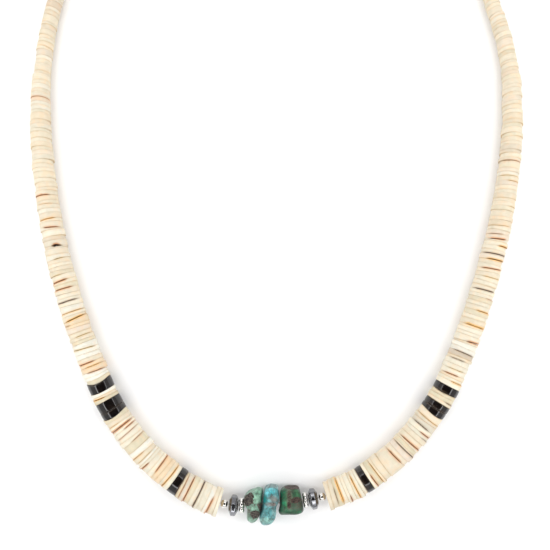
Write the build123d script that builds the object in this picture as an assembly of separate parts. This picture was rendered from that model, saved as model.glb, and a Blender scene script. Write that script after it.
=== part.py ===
"""A turquoise, shell and silver bead necklace, lying flat in its worn oval."""

import os
from math import radians, tan

from build123d import *

# The axes: the necklace lies on Z = 0, its front is at -Y and its clasp at +Y.
# The strand: shell discs that grow from the clasp to the front, in millimetres
smallest_disc = 3.4
largest_disc = 7.8
finest_disc = 5.0
shell_room = 1.2
black_room = 2.2
disc_clearance = 0.14
fine_stretch = 13.0
black_rim_round = 0.2

# The thread and the holes drilled for it
thread_diameter = 0.5
bead_hole = 1.0
thread_gap_in_clasp = 2.0

# The clasp
clasp_length = 12.0
clasp_diameter = 3.4
clasp_end_diameter = 2.4
clasp_end_length = 2.2
clasp_band_length = 0.8
clasp_band_depth = 0.25

# The silver and hematite beads beside the turquoise
silver_bead_diameter = 2.1
rondelle_diameter = 5.55
rondelle_thickness = 2.5
rondelle_table_diameter = 3.0
rondelle_girdle = 1.15
rondelle_sides = 8
granule_diameter = 1.4
granules_per_ring = 6
ring_diameter = 4.1
ring_wire_diameter = 0.75
bead_clearance = 0.1

# The turquoise nuggets: their sizes along the thread, across it and above the surface, their
# tilt in degrees, and the share of their length at which they are drilled
left_nugget_width = 4.75
left_nugget_length = 9.5
left_nugget_depth = 6.8
left_nugget_tilt = 11.0
left_nugget_hole = 0.51
middle_nugget_width = 4.2
middle_nugget_length = 10.85
middle_nugget_depth = 7.4
middle_nugget_tilt = 11.0
middle_nugget_hole = 0.524
middle_nugget_shift = -1.0
right_nugget_width = 6.3
right_nugget_length = 6.9
right_nugget_depth = 6.9
right_nugget_tilt = 0.0
right_nugget_hole = 0.42
# How far each nugget reaches along the thread on its left and right, as shares of its width
left_nugget_reach = (0.57, 0.36)
middle_nugget_reach = (0.48, 0.62)
right_nugget_reach = (0.50, 0.488)

# The route of the string, from the clasp round the left side, the front and the right side
ROUTE = [
    (-11.0, 98.2),
    (-26.2, 92.1),
    (-38.9, 81.1),
    (-49.9, 65.6),
    (-58.4, 48.3),
    (-63.3, 27.6),
    (-63.9, 5.5),
    (-60.6, -20.4),
    (-54.3, -44.2),
    (-45.2, -67.0),
    (-35.9, -80.3),
    (-23.8, -89.9),
    (-12.8, -94.9),
    (11.5, -92.8),
    (22.8, -88.5),
    (35.3, -78.6),
    (45.5, -65.1),
    (54.3, -43.1),
    (61.5, -16.7),
    (64.5, 5.8),
    (63.9, 26.7),
    (57.4, 46.4),
    (48.2, 67.6),
    (38.5, 81.8),
    (26.4, 92.6),
    (11.0, 98.2),
]
# The necklace's front is the middle of the route's lowest run
front_run = min(range(1, len(ROUTE)), key=lambda run: ROUTE[run - 1][1] + ROUTE[run][1])
arc_share_of_run = 0.45

# The taper: the share of the way from the front to the clasp, and the disc's diameter there
# as the share of the way from the smallest disc to the largest
TAPER = (
    (0.000, 1.00),
    (0.070, 1.00),
    (0.155, 0.91),
    (0.240, 0.82),
    (0.304, 0.76),
    (0.390, 0.68),
    (0.475, 0.56),
    (0.517, 0.50),
    (0.560, 0.42),
    (0.602, 0.26),
    (0.650, 0.17),
    (1.000, 0.00),
)

# The front of each strand from the middle outwards: what the discs are, and the room that
# each takes along the thread as a share of the room of its kind
SHELL, BLACK = "shell_disc", "black_disc"
LEFT_FRONT = (
    (SHELL, (0.88, 1.00, 1.33, 1.33, 1.00, 1.00, 0.96, 1.29, 0.85)),
    (BLACK, (1.13,)),
    (SHELL, (1.00, 1.15, 1.05, 1.06, 1.20, 1.10, 0.90, 0.90, 0.90)),
    (SHELL, (1.55, 1.75, 1.10, 0.90, 1.33, 0.90, 1.00, 1.00, 0.78)),
    (BLACK, (0.92, 1.23)),
    (SHELL, (0.70, 0.72, 0.74)),
    (BLACK, (1.29,)),
)
RIGHT_FRONT = (
    (SHELL, (1.08, 1.33, 1.00, 0.92, 1.00, 0.83, 0.88, 0.88, 0.75)),
    (BLACK, (0.89,)),
    (SHELL, (1.00, 1.08, 0.88, 1.42, 3.46, 1.12, 1.17, 0.62, 0.83)),
    (SHELL, (0.83, 1.08, 1.00, 1.33, 1.21, 1.04, 0.96, 1.37)),
    (BLACK, (0.79, 0.82)),
    (SHELL, (0.81, 0.81, 0.80)),
    (BLACK, (1.00,)),
)
# Above the last black disc the rooms repeat, with as many rows as one repeat needs
LEFT_ROOMS = (0.90, 0.78, 1.10, 0.90, 1.35, 0.75, 1.05, 0.95, 1.45, 0.80, 1.00, 0.85, 1.20)
RIGHT_ROOMS = (1.15, 0.80, 1.00, 0.75, 1.30, 0.95, 0.85, 1.40, 0.90, 1.05, 0.78)
# Hand-cut discs differ in size: each is this share of the strand's diameter where it sits
SIZE_SHARES = (1.00, 0.972, 0.985, 0.96, 1.00, 0.978, 0.965, 0.99, 0.955, 0.982, 0.97)
black_size_share = 0.96

# The nuggets' sections along their length, from the front end to the back end: the height of
# the section, its shift along the strand, its width and its depth, as shares of the nugget's
# length, width, width and depth
LEFT_NUGGET = (
    (0.00, 0.00, 0.22, 0.22),
    (0.06, -0.02, 0.42, 0.46),
    (0.23, -0.02, 0.70, 0.82),
    (0.42, -0.04, 0.76, 0.98),
    (0.62, -0.15, 0.96, 1.00),
    (0.75, -0.15, 0.97, 0.93),
    (0.85, -0.05, 0.75, 0.80),
    (0.92, 0.05, 0.54, 0.62),
    (0.97, 0.08, 0.40, 0.46),
    (1.00, 0.09, 0.24, 0.26),
)
MIDDLE_NUGGET = (
    (0.00, -0.08, 0.28, 0.24),
    (0.04, -0.06, 0.52, 0.46),
    (0.14, -0.01, 0.86, 0.80),
    (0.28, 0.03, 1.00, 0.95),
    (0.42, 0.03, 0.95, 0.93),
    (0.54, 0.02, 0.90, 0.90),
    (0.67, 0.05, 0.98, 0.98),
    (0.81, 0.02, 0.97, 0.94),
    (0.93, 0.00, 0.72, 0.66),
    (1.00, -0.04, 0.34, 0.30),
)
RIGHT_NUGGET = (
    (0.00, -0.10, 0.55, 0.52),
    (0.07, -0.02, 0.90, 0.80),
    (0.17, 0.01, 1.00, 0.95),
    (0.50, 0.00, 0.94, 1.00),
    (0.80, -0.02, 0.82, 0.92),
    (0.93, 0.01, 0.64, 0.74),
    (1.00, 0.07, 0.36, 0.46),
)
blunt_corner_share, round_corner_share = 0.30, 0.44


def taper_at(share):
    """The strand's diameter at a share of the way from the front to the clasp."""
    for (near, near_size), (far, far_size) in zip(TAPER, TAPER[1:]):
        if share <= far:
            size = near_size + (far_size - near_size) * (share - near) / (far - near)
            return smallest_disc + (largest_disc - smallest_disc) * size
    return smallest_disc


def route_points():
    """The route's points with the height at which the discs there carry the thread."""
    start = Vector(-thread_gap_in_clasp / 2, ROUTE[0][1])
    end = Vector(thread_gap_in_clasp / 2, ROUTE[-1][1])
    flat = [start] + [Vector(x, y) for x, y in ROUTE] + [end]
    runs = [(b - a).length for a, b in zip(flat, flat[1:])]
    front = sum(runs[:front_run]) + runs[front_run] / 2
    half = sum(runs) / 2
    points = []
    for number, point in enumerate(flat):
        share = min(abs(sum(runs[:number]) - front) / half, 1)
        thickest = taper_at(share)
        if min(number, len(flat) - 1 - number) < 2:
            thickest = max(clasp_diameter, smallest_disc)
        points.append(Vector(point.X, point.Y, thickest / 2))
    return points


def corner_radii(points):
    """The largest arcs that the runs allow, one for each corner of the route."""
    radii = []
    clasp_run = (points[1] - points[-2]).length
    for number in range(1, len(points) - 1):
        before = points[number] - points[number - 1]
        after = points[number + 1] - points[number]
        runs = [before.length, after.length]
        if number == 1:
            runs[0] = clasp_run
        if number == len(points) - 2:
            runs[1] = clasp_run
        half_turn = radians(before.get_angle(after)) / 2
        radii.append(arc_share_of_run * min(runs) / tan(half_turn))
    return radii


points = route_points()
radii = corner_radii(points)
route = Wire(FilletPolyline(*points, radius=radii).edges())
route_edges = route.order_edges()
edge_lengths = [edge.length for edge in route_edges]
route_length = sum(edge_lengths)
# Straight runs and arcs take turns along the route
front = sum(edge_lengths[: 2 * front_run]) + edge_lengths[2 * front_run] / 2
clasp_reach = clasp_length / 2 - thread_gap_in_clasp / 2
half_length = route_length / 2
granule_reach = (ring_diameter - granule_diameter) / 2


def edge_at(distance):
    """The edge of the route at a distance from its start, and the share of that edge."""
    passed = 0
    for edge, length in zip(route_edges, edge_lengths):
        if distance <= passed + length:
            return edge, max(distance - passed, 0) / length
        passed += length
    return route_edges[-1], 1


def place(distance):
    """The plane square to the route at a distance from its start, with its X upwards."""
    edge, share = edge_at(distance)
    return Plane(origin=edge @ share, x_dir=(0, 0, 1), z_dir=edge % share)


def turn_over(distance, room):
    """How far the route turns, in radians, over a room centred on a distance."""
    before, after = place(distance - room / 2), place(distance + room / 2)
    return radians(before.z_dir.get_angle(after.z_dir))


def strand_diameter(distance):
    """The diameter of the strand at a distance from the route's start."""
    return taper_at(abs(distance - front) / half_length)


def stretch(start, end):
    """The part of the route between two distances from its start."""
    pieces = []
    passed = 0
    for edge, length in zip(route_edges, edge_lengths):
        low = max(start - passed, 0) / length
        high = min(end - passed, length) / length
        if low < high:
            pieces.append(edge.trim(low, high))
        passed += length
    return Wire(pieces)


def hole_through(length):
    """The drilled hole of a bead that is so long."""
    return Cylinder(bead_hole / 2, length + 2 * bead_clearance)


def drilled_disc(distance, room, size_share, rim_round=0):
    """A disc that fills its room on the thread, less what keeps it off its neighbours."""
    at = place(distance)
    slope_drop = abs(at.z_dir.Z) * room / 2
    radius = min(strand_diameter(distance) * size_share / 2, at.origin.Z - slope_drop)
    thickness = room - disc_clearance - radius * turn_over(distance, room)
    disc = Cylinder(radius, thickness)
    if rim_round:
        rims = disc.edges().filter_by(GeomType.CIRCLE)
        disc = fillet(rims, min(rim_round, thickness / 4))
    return at * (disc - hole_through(thickness))


def nugget(sections, width, length, depth, tilt, hole, corner_share, centre):
    """A tumbled stone: rounded sections stacked along its length, drilled along the strand."""
    slices = []
    for height, shift, wide, deep in sections:
        along = (height - hole) * length
        level = Plane(origin=(shift * width, along, 0), x_dir=(1, 0, 0), z_dir=(0, 1, 0))
        least = min(wide * width, deep * depth)
        slices.append(level * RectangleRounded(wide * width, deep * depth, corner_share * least))
    stone = Rot(0, 0, -tilt) * loft(slices)
    seat = place(centre)
    bore = seat * Cylinder(bead_hole / 2, 2 * length)
    return Pos(*seat.origin) * stone - bore


def rondelle(distance, turned):
    """A faceted hematite bead: two rings of bevels, a girdle of flats and two tables."""
    levels = (
        (-rondelle_thickness / 2, rondelle_table_diameter),
        (-rondelle_girdle / 2, rondelle_diameter),
        (rondelle_girdle / 2, rondelle_diameter),
        (rondelle_thickness / 2, rondelle_table_diameter),
    )
    outlines = [
        Pos(0, 0, height) * RegularPolygon(size / 2, rondelle_sides, rotation=turned)
        for height, size in levels
    ]
    stone = loft(outlines, ruled=True) - hole_through(rondelle_thickness)
    return place(distance) * stone


def granule_ring(distance, turned):
    """Silver granules soldered side by side to a wire ring, one solid."""
    granules = []
    for number in range(granules_per_ring):
        angle = turned + number * 360 / granules_per_ring
        granules.append(Rot(0, 0, angle) * Pos(granule_reach, 0) * Sphere(granule_diameter / 2))
    ring = Torus(granule_reach, ring_wire_diameter / 2) + granules
    return place(distance) * ring


def silver_bead(distance):
    """A small round silver bead, drilled."""
    return place(distance) * (Sphere(silver_bead_diameter / 2) - hole_through(silver_bead_diameter))


def barrel_clasp():
    """A plain silver barrel with tapered ends and the seam between its two halves."""
    barrel, end = clasp_diameter / 2, clasp_end_diameter / 2
    shoulder = clasp_length / 2 - clasp_end_length
    band, waist = clasp_band_length / 2, barrel - clasp_band_depth
    outline = Polyline(
        (bead_hole / 2, -clasp_length / 2),
        (end, -clasp_length / 2),
        (barrel, -shoulder),
        (barrel, -band),
        (waist, 0),
        (barrel, band),
        (barrel, shoulder),
        (end, clasp_length / 2),
        (bead_hole / 2, clasp_length / 2),
        close=True,
    )
    turned = revolve(make_face(outline), Axis.Y)
    return Pos(0, ROUTE[0][1], points[0].Z) * Rot(0, 0, 90) * turned


def tube(start, end, outer, inner=0):
    """A round tube or rod that follows the route between two distances."""
    path = stretch(start, end)
    section = Circle(outer / 2)
    if inner:
        section -= Circle(inner / 2)
    across = Plane(origin=path @ 0, z_dir=path % 0)
    solid = sweep(across * section, path=path)
    expected = section.area * path.length
    print(f"tube {outer:.2f} mm: volume {solid.volume:.2f}, section by length {expected:.2f}")
    return solid


def strand(side, start, front_rooms, rooms):
    """The discs of one side, from the middle group outwards: nodes by name."""
    direction = -1 if side == "left" else 1
    pieces, string = {}, []
    distance, count, blacks, own = start, 0, 0, 0
    for kind, shares in front_rooms:
        for share in shares:
            room = share * (black_room if kind == BLACK else shell_room)
            centre = front + direction * (distance + room / 2)
            distance += room
            if kind == BLACK:
                blacks += 1
                disc = drilled_disc(centre, room, black_size_share, black_rim_round)
                pieces[f"black_disc_{side}_{blacks}"] = disc
                continue
            disc = drilled_disc(centre, room, SIZE_SHARES[count % len(SIZE_SHARES)])
            count += 1
            if blacks:
                string.append(disc)
            else:
                own += 1
                pieces[f"shell_disc_{side}_{own:02d}"] = disc
    number = 0
    while strand_diameter(front + direction * distance) > finest_disc:
        room = rooms[number % len(rooms)] * shell_room
        centre = front + direction * (distance + room / 2)
        string.append(drilled_disc(centre, room, SIZE_SHARES[count % len(SIZE_SHARES)]))
        distance, number, count = distance + room, number + 1, count + 1
    pieces[f"shell_string_{side}"] = Compound(children=string)
    pieces[f"fine_string_{side}"] = fine_string(direction, distance)
    print(f"{side}: {count} shell discs, {blacks} black discs")
    return pieces


def fine_string(direction, distance):
    """The finest discs up to the clasp, as plain bored stretches, each a little thinner."""
    reach = front if direction < 0 else route_length - front
    room = reach - clasp_reach - bead_clearance - distance
    count = max(round(room / fine_stretch), 1)
    tubes = []
    for number in range(count):
        ends = [distance + room * (number + step) / count for step in (0, 1)]
        ends = [ends[0] + disc_clearance / 2, ends[1] - disc_clearance / 2]
        low, high = sorted(front + direction * end for end in ends)
        diameter = strand_diameter((low + high) / 2) * SIZE_SHARES[1]
        tubes.append(tube(low, high, diameter, bead_hole))
    return Compound(children=tubes)


def middle_group():
    """The turquoise nuggets and the silver and hematite beads beside them."""
    pieces = {}
    middle = front + middle_nugget_shift
    left_gap = (left_nugget_reach[1] * left_nugget_width, middle_nugget_reach[0] * middle_nugget_width)
    right_gap = (middle_nugget_reach[1] * middle_nugget_width, right_nugget_reach[0] * right_nugget_width)
    left_seat = middle - sum(left_gap) - bead_clearance
    right_seat = middle + sum(right_gap) + bead_clearance
    left_end = left_seat - left_nugget_reach[0] * left_nugget_width
    right_end = right_seat + right_nugget_reach[1] * right_nugget_width
    left_size = (left_nugget_width, left_nugget_length, left_nugget_depth)
    left_set = (left_nugget_tilt, left_nugget_hole, round_corner_share, left_seat)
    pieces["turquoise_left"] = nugget(LEFT_NUGGET, *left_size, *left_set)
    middle_size = (middle_nugget_width, middle_nugget_length, middle_nugget_depth)
    middle_set = (middle_nugget_tilt, middle_nugget_hole, round_corner_share, middle)
    pieces["turquoise_middle"] = nugget(MIDDLE_NUGGET, *middle_size, *middle_set)
    right_size = (right_nugget_width, right_nugget_length, right_nugget_depth)
    right_set = (right_nugget_tilt, right_nugget_hole, blunt_corner_share, right_seat)
    pieces["turquoise_right"] = nugget(RIGHT_NUGGET, *right_size, *right_set)
    ends = {}
    flat_up = 180 / rondelle_sides
    for side, direction, end, ring_turn, rondelle_turn in (
        ("left", -1, left_end, 30, flat_up),
        ("right", 1, right_end, 0, flat_up + 8),
    ):
        centres = []
        for thickness in (granule_diameter, rondelle_thickness, silver_bead_diameter):
            lean = granule_reach * turn_over(end, thickness)
            centres.append(end + direction * (bead_clearance + lean + thickness / 2))
            end = centres[-1] + direction * thickness / 2
        pieces[f"granule_ring_{side}"] = granule_ring(centres[0], ring_turn)
        pieces[f"hematite_rondelle_{side}"] = rondelle(centres[1], rondelle_turn)
        pieces[f"silver_bead_{side}"] = silver_bead(centres[2])
        ends[side] = abs(end - front) + bead_clearance / 2
    return pieces, ends


def main():
    """Builds every piece and writes one file for each."""
    pieces, ends = middle_group()
    pieces.update(strand("left", ends["left"], LEFT_FRONT, LEFT_ROOMS))
    pieces.update(strand("right", ends["right"], RIGHT_FRONT, RIGHT_ROOMS))
    pieces["barrel_clasp"] = barrel_clasp()
    pieces["thread"] = tube(0, route_length, thread_diameter)
    os.makedirs("parts", exist_ok=True)
    for name, shape in pieces.items():
        export_step(shape, f"parts/{name}.step")
    whole = Compound(children=list(pieces.values())).bounding_box()
    print("arcs of the route, mm:", [round(radius, 1) for radius in radii])
    print(f"route {route_length:.1f} mm, front at {front:.1f} mm, {len(pieces)} pieces")
    print("whole box", whole.min, whole.max)


main()
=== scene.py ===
"""The looks of a turquoise, shell and silver bead necklace, laid flat in its worn oval."""

import logging
import math
import random
from dataclasses import dataclass
from enum import Enum
from functools import partial
from typing import Any, Callable, Optional, Sequence, Union

import bmesh
import bpy
import numpy as np
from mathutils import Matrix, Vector, kdtree, noise

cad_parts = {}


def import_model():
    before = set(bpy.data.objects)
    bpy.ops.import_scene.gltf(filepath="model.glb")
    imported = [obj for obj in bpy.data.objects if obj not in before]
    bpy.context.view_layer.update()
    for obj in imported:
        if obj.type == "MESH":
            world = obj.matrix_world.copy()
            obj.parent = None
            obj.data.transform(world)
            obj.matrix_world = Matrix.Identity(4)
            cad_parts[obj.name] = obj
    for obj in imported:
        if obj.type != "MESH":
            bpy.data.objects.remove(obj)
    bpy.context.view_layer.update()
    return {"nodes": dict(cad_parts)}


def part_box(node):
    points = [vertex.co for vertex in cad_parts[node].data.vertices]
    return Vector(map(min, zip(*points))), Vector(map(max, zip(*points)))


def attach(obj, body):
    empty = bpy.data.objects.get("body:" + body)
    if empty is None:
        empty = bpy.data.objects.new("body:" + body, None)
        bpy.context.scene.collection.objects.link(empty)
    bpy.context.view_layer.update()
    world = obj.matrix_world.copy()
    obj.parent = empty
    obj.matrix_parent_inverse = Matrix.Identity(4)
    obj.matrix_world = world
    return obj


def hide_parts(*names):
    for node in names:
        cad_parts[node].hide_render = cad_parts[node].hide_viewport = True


log = logging.getLogger("necklace")

MM = 0.001
BODY = "root"
UP = (0.0, 0.0, 1.0)
# Points nearer to each other than this are one
WELD = 0.001 * MM
# Edges that turn by more degrees than this stay sharp
DISC_SHARP, TURNED_SHARP, ROUND_SHARP = 42.0, 50.0, 60.0

Pair = tuple[float, float]
Place = tuple[float, float, float]
Colour = tuple[float, float, float, float]
Array = np.ndarray
Object = bpy.types.Object
Material = bpy.types.Material
Socket = bpy.types.NodeSocket
Add = Callable[..., Socket]


# Small helpers
def linear(hex_code: str) -> Colour:
    """Turns an sRGB hex colour into linear light.

    Args:
        hex_code: The colour as "#rrggbb".

    Returns:
        Red, green, blue and 1, each from 0 to 1.
    """
    channels = [int(hex_code[start : start + 2], 16) / 255 for start in (1, 3, 5)]
    light = [c / 12.92 if c <= 0.04045 else ((c + 0.055) / 1.055) ** 2.4 for c in channels]
    return (light[0], light[1], light[2], 1.0)


def add_node(
    tree: bpy.types.NodeTree,
    kind: str,
    settings: Optional[dict[Any, Any]] = None,
    links: Optional[dict[Any, Socket]] = None,
    out: Union[int, str] = 0,
) -> Optional[Socket]:
    """Adds one node with its settings and links.

    Args:
        tree: The node tree that it goes into.
        kind: The node's type, without ShaderNode in front.
        settings: Values by property name, socket name or socket number. "stops" holds the
            positions and colours of a colour ramp.
        links: The sockets that feed the node's inputs, by name or number.
        out: The output to hand back, by name or number.

    Returns:
        That output, if the node has any.
    """
    node = tree.nodes.new(f"ShaderNode{kind}")
    for name, value in (settings or {}).items():
        if name == "stops":
            elements = node.color_ramp.elements
            elements[0].position, elements[1].position = value[0][0], value[-1][0]
            for position, _ in value[1:-1]:
                elements.new(position)
            for element, (_, colour) in zip(elements, value):
                element.color = colour
        elif isinstance(name, int) or name in node.inputs:
            node.inputs[name].default_value = value
        else:
            setattr(node, name, value)
    for name, source in (links or {}).items():
        tree.links.new(source, node.inputs[name])
    return node.outputs[out] if len(node.outputs) else None


def fill(tree: bpy.types.NodeTree, output: str, surface: Callable[[Add], Socket]) -> None:
    """Empties a node tree and fills it with a surface and its output.

    Args:
        tree: The tree.
        output: The output node's type.
        surface: Adds the surface's nodes with the function given to it.
    """
    tree.nodes.clear()
    add = partial(add_node, tree)
    add(output, links={"Surface": surface(add)})


def circle(steps: int) -> Array:
    """The angles of even steps round a circle, in radians."""
    return np.linspace(0, 2 * math.pi, steps, endpoint=False)


def points_of(mesh: bpy.types.Mesh) -> Array:
    """The places of a mesh's vertices, one row each."""
    return np.array([vertex.co for vertex in mesh.vertices])


def show(mesh: bpy.types.Mesh, sharp_degrees: float, *materials: Material) -> Object:
    """Shades a mesh smooth and puts it in the scene.

    Args:
        mesh: The mesh, whose name the object takes.
        sharp_degrees: Edges that turn by more than this stay sharp.
        materials: What it is made of.

    Returns:
        The object.
    """
    mesh.polygons.foreach_set("use_smooth", np.ones(len(mesh.polygons), bool))
    mesh.set_sharp_from_angle(angle=math.radians(sharp_degrees))
    for material in materials:
        mesh.materials.append(material)
    piece = bpy.data.objects.new(mesh.name, mesh)
    bpy.context.scene.collection.objects.link(piece)
    return piece


def make_piece(
    name: str, points: Array, faces: list[list[int]], material: Material, sharp_degrees: float = 40.0
) -> Object:
    """Makes a smooth-shaded object of points and faces.

    Args:
        name: The piece's name.
        points: The vertices, one row each, in metres.
        faces: The vertex numbers of each face.
        material: What it is made of.
        sharp_degrees: Edges that turn by more than this stay sharp.

    Returns:
        The object, linked to the scene.
    """
    mesh = bpy.data.meshes.new(name)
    mesh.from_pydata(points.tolist(), [], faces)
    work = bmesh.new()
    work.from_mesh(mesh)
    bmesh.ops.recalc_face_normals(work, faces=work.faces)
    work.to_mesh(mesh)
    work.free()
    return show(mesh, sharp_degrees, material)


def weave(rows: int, columns: int, capped: bool = False) -> list[list[int]]:
    """The faces between rings of points.

    Args:
        rows: How many rings there are.
        columns: How many points each ring has.
        capped: Whether each end gets a flat face, and the last ring isn't joined to the first.

    Returns:
        The point numbers of each face.
    """
    row, column = np.meshgrid(np.arange(rows), np.arange(columns), indexing="ij")
    near, far = row * columns, (row + 1) % rows * columns
    beside = (column + 1) % columns
    corners = [near + column, near + beside, far + beside, far + column]
    faces = np.stack(corners, -1).reshape(-1, 4).tolist()
    if not capped:
        return faces
    last = (rows - 1) * columns
    ends = [list(range(columns))[::-1], list(range(last, last + columns))]
    return faces[:-columns] + ends


def store(mesh: bpy.types.Mesh, name: str, kind: str, values: Array) -> None:
    """Keeps one value for each vertex in a mesh attribute.

    Args:
        mesh: The mesh.
        name: The attribute's name, which the material reads.
        kind: FLOAT, FLOAT_VECTOR or FLOAT_COLOR.
        values: One row for each vertex.
    """
    attribute = mesh.attributes.new(name, kind, "POINT")
    slot = {"FLOAT": "value", "FLOAT_VECTOR": "vector", "FLOAT_COLOR": "color"}[kind]
    attribute.data.foreach_set(slot, np.asarray(values, np.float32).ravel())


def settle(piece: Object, node: str) -> None:
    """Makes a piece ride on the necklace in place of the node that it stands for.

    Args:
        piece: The piece.
        node: The name of the CAD node.
    """
    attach(piece, BODY)
    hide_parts(node)
    log.info("%s: %d vertices, for %s", piece.name, len(piece.data.vertices), node)


# What the pieces are made of
RANGE = ("From Min", "From Max", "To Min", "To Max")
MULTIPLY = {"data_type": "RGBA", "blend_type": "MULTIPLY"}
WHITE_LIGHT = (1, 1, 1, 1)


class Finish:
    """A material and how its surface was made."""

    title: str

    def surface(self, add: Add) -> Socket:
        """Adds the nodes of the surface and hands back its shader."""
        raise NotImplementedError

    def build(self) -> Material:
        """Makes the material.

        Returns:
            The material, with the finish's surface.
        """
        material = bpy.data.materials.new(self.title)
        material.use_nodes = True
        fill(material.node_tree, "OutputMaterial", self.surface)
        return material

    def millimetres(self, add: Add) -> Socket:
        """The place of a point on the piece, in millimetres."""
        place = add("TexCoord", out="Object")
        return add("Mapping", {"Scale": (1 / MM, 1 / MM, 1 / MM)}, {"Vector": place})

    def layers(self, add: Add, layer_mm: float, length_mm: float) -> tuple[Socket, ...]:
        """Reads a disc's tone and its grain, which is also stretched along the shell's layers.

        Args:
            add: Adds a node.
            layer_mm: How thick the layers are.
            length_mm: How far they run before they change.

        Returns:
            The tone, the grain and the stretched grain.
        """
        tone = add("Attribute", {"attribute_name": "tone"}, out="Color")
        grain = add("Attribute", {"attribute_name": "grain"}, out="Vector")
        stretch = (1 / length_mm, 1 / length_mm, 1 / layer_mm)
        return tone, grain, add("Mapping", {"Scale": stretch}, {"Vector": grain})


@dataclass(frozen=True)
class GroundShell(Finish):
    """Clam shell, sawn, drilled and ground round on the string.

    The rim cuts across the shell's growth layers, so it shows faint lines along each disc's
    faces, with a dull wax polish on them, rusty grinding dust left between the discs and
    painted shade beside every joint.
    """

    title: str = "clam_shell_ground_on_the_string"
    layer_mm: float = 0.30
    layer_length_mm: float = 3.4
    cloud_mm: float = 1.7
    grit_mm: float = 0.09
    layer_depth: float = 0.30
    roughness: Pair = (0.42, 0.60)
    layer_tint: Colour = (0.80, 0.69, 0.55, 1.0)
    cool_tint: Colour = (0.95, 0.955, 0.93, 1.0)
    warm_tint: Colour = (1.05, 0.985, 0.91, 1.0)

    def surface(self, add: Add) -> Socket:
        """Growth layers and soft clouds over each disc's tone, with grit in the relief.

        Args:
            add: Adds a node.

        Returns:
            The shader.
        """
        tone, grain, along = self.layers(add, self.layer_mm, self.layer_length_mm)
        banded = {"Scale": 1.0, "Detail": 3.0, "Roughness": 0.55, "Distortion": 0.2}
        layers = add("TexNoise", banded, {"Vector": along})
        lined = dict(zip(RANGE, (0.50, 0.74, 0.0, self.layer_depth)))
        lines = add("MapRange", lined, {"Value": layers})
        layered = add("Mix", MULTIPLY | {7: self.layer_tint}, {0: lines, 6: tone}, 2)
        clouds = add("TexNoise", {"Scale": 1 / self.cloud_mm, "Detail": 2.0}, {"Vector": grain})
        stops = ((0.36, self.cool_tint), (0.50, WHITE_LIGHT), (0.64, self.warm_tint))
        tint = add("ValToRGB", {"stops": stops}, {"Fac": clouds})
        colour = add("Mix", MULTIPLY | {0: 1.0}, {6: layered, 7: tint}, 2)
        grit = add("TexNoise", {"Scale": 1 / self.grit_mm, "Detail": 1.0}, {"Vector": grain})
        dull = add("MapRange", dict(zip(RANGE[2:], self.roughness)), {"Value": layers})
        relief = add("Bump", {"Strength": 0.20, "Distance": 0.03 * MM}, {"Height": layers})
        rubbed = {"Height": grit, "Normal": relief}
        rub = add("Bump", {"Strength": 0.12, "Distance": 0.012 * MM}, rubbed)
        links = {"Base Color": colour, "Roughness": dull, "Normal": rub}
        return add("BsdfPrincipled", {"IOR": 1.53, "Metallic": 0.0}, links)


@dataclass(frozen=True)
class PolishedBlackShell(Finish):
    """Black pen shell, ground and buffed to a gloss.

    It is brown-black with faint wavy layers, mirrors the lamps as two bright lines and keeps
    fine turning marks from the buffing.
    """

    title: str = "black_pen_shell_buffed"
    layer_mm: float = 0.45
    layer_length_mm: float = 2.6
    scratch_mm: float = 0.12
    scratch_length_mm: float = 4.0
    roughness: Pair = (0.07, 0.17)

    def surface(self, add: Add) -> Socket:
        """Wavy layers over the black, with turning marks in the gloss and the relief.

        Args:
            add: Adds a node.

        Returns:
            The shader.
        """
        tone, grain, along = self.layers(add, self.layer_mm, self.layer_length_mm)
        layers = add("TexNoise", {"Scale": 1.0, "Detail": 4.0, "Distortion": 0.6}, {"Vector": along})
        stops = ((0.35, (0.5, 0.5, 0.55, 1)), (0.55, WHITE_LIGHT), (0.78, (2.6, 2.1, 1.9, 1)))
        shade = add("ValToRGB", {"stops": stops}, {"Fac": layers})
        colour = add("Mix", MULTIPLY | {0: 1.0}, {6: tone, 7: shade}, 2)
        length = 1 / self.scratch_length_mm
        turned = add("Mapping", {"Scale": (length, length, 1 / self.scratch_mm)}, {"Vector": grain})
        marks = add("TexNoise", {"Scale": 1.0, "Detail": 1.0}, {"Vector": turned})
        gloss = add("MapRange", dict(zip(RANGE, (0.3, 0.7, *self.roughness))), {"Value": marks})
        relief = add("Bump", {"Strength": 0.08, "Distance": 0.01 * MM}, {"Height": marks})
        links = {"Base Color": colour, "Roughness": gloss, "Normal": relief}
        return add("BsdfPrincipled", {"IOR": 1.56, "Metallic": 0.0}, links)


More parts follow.
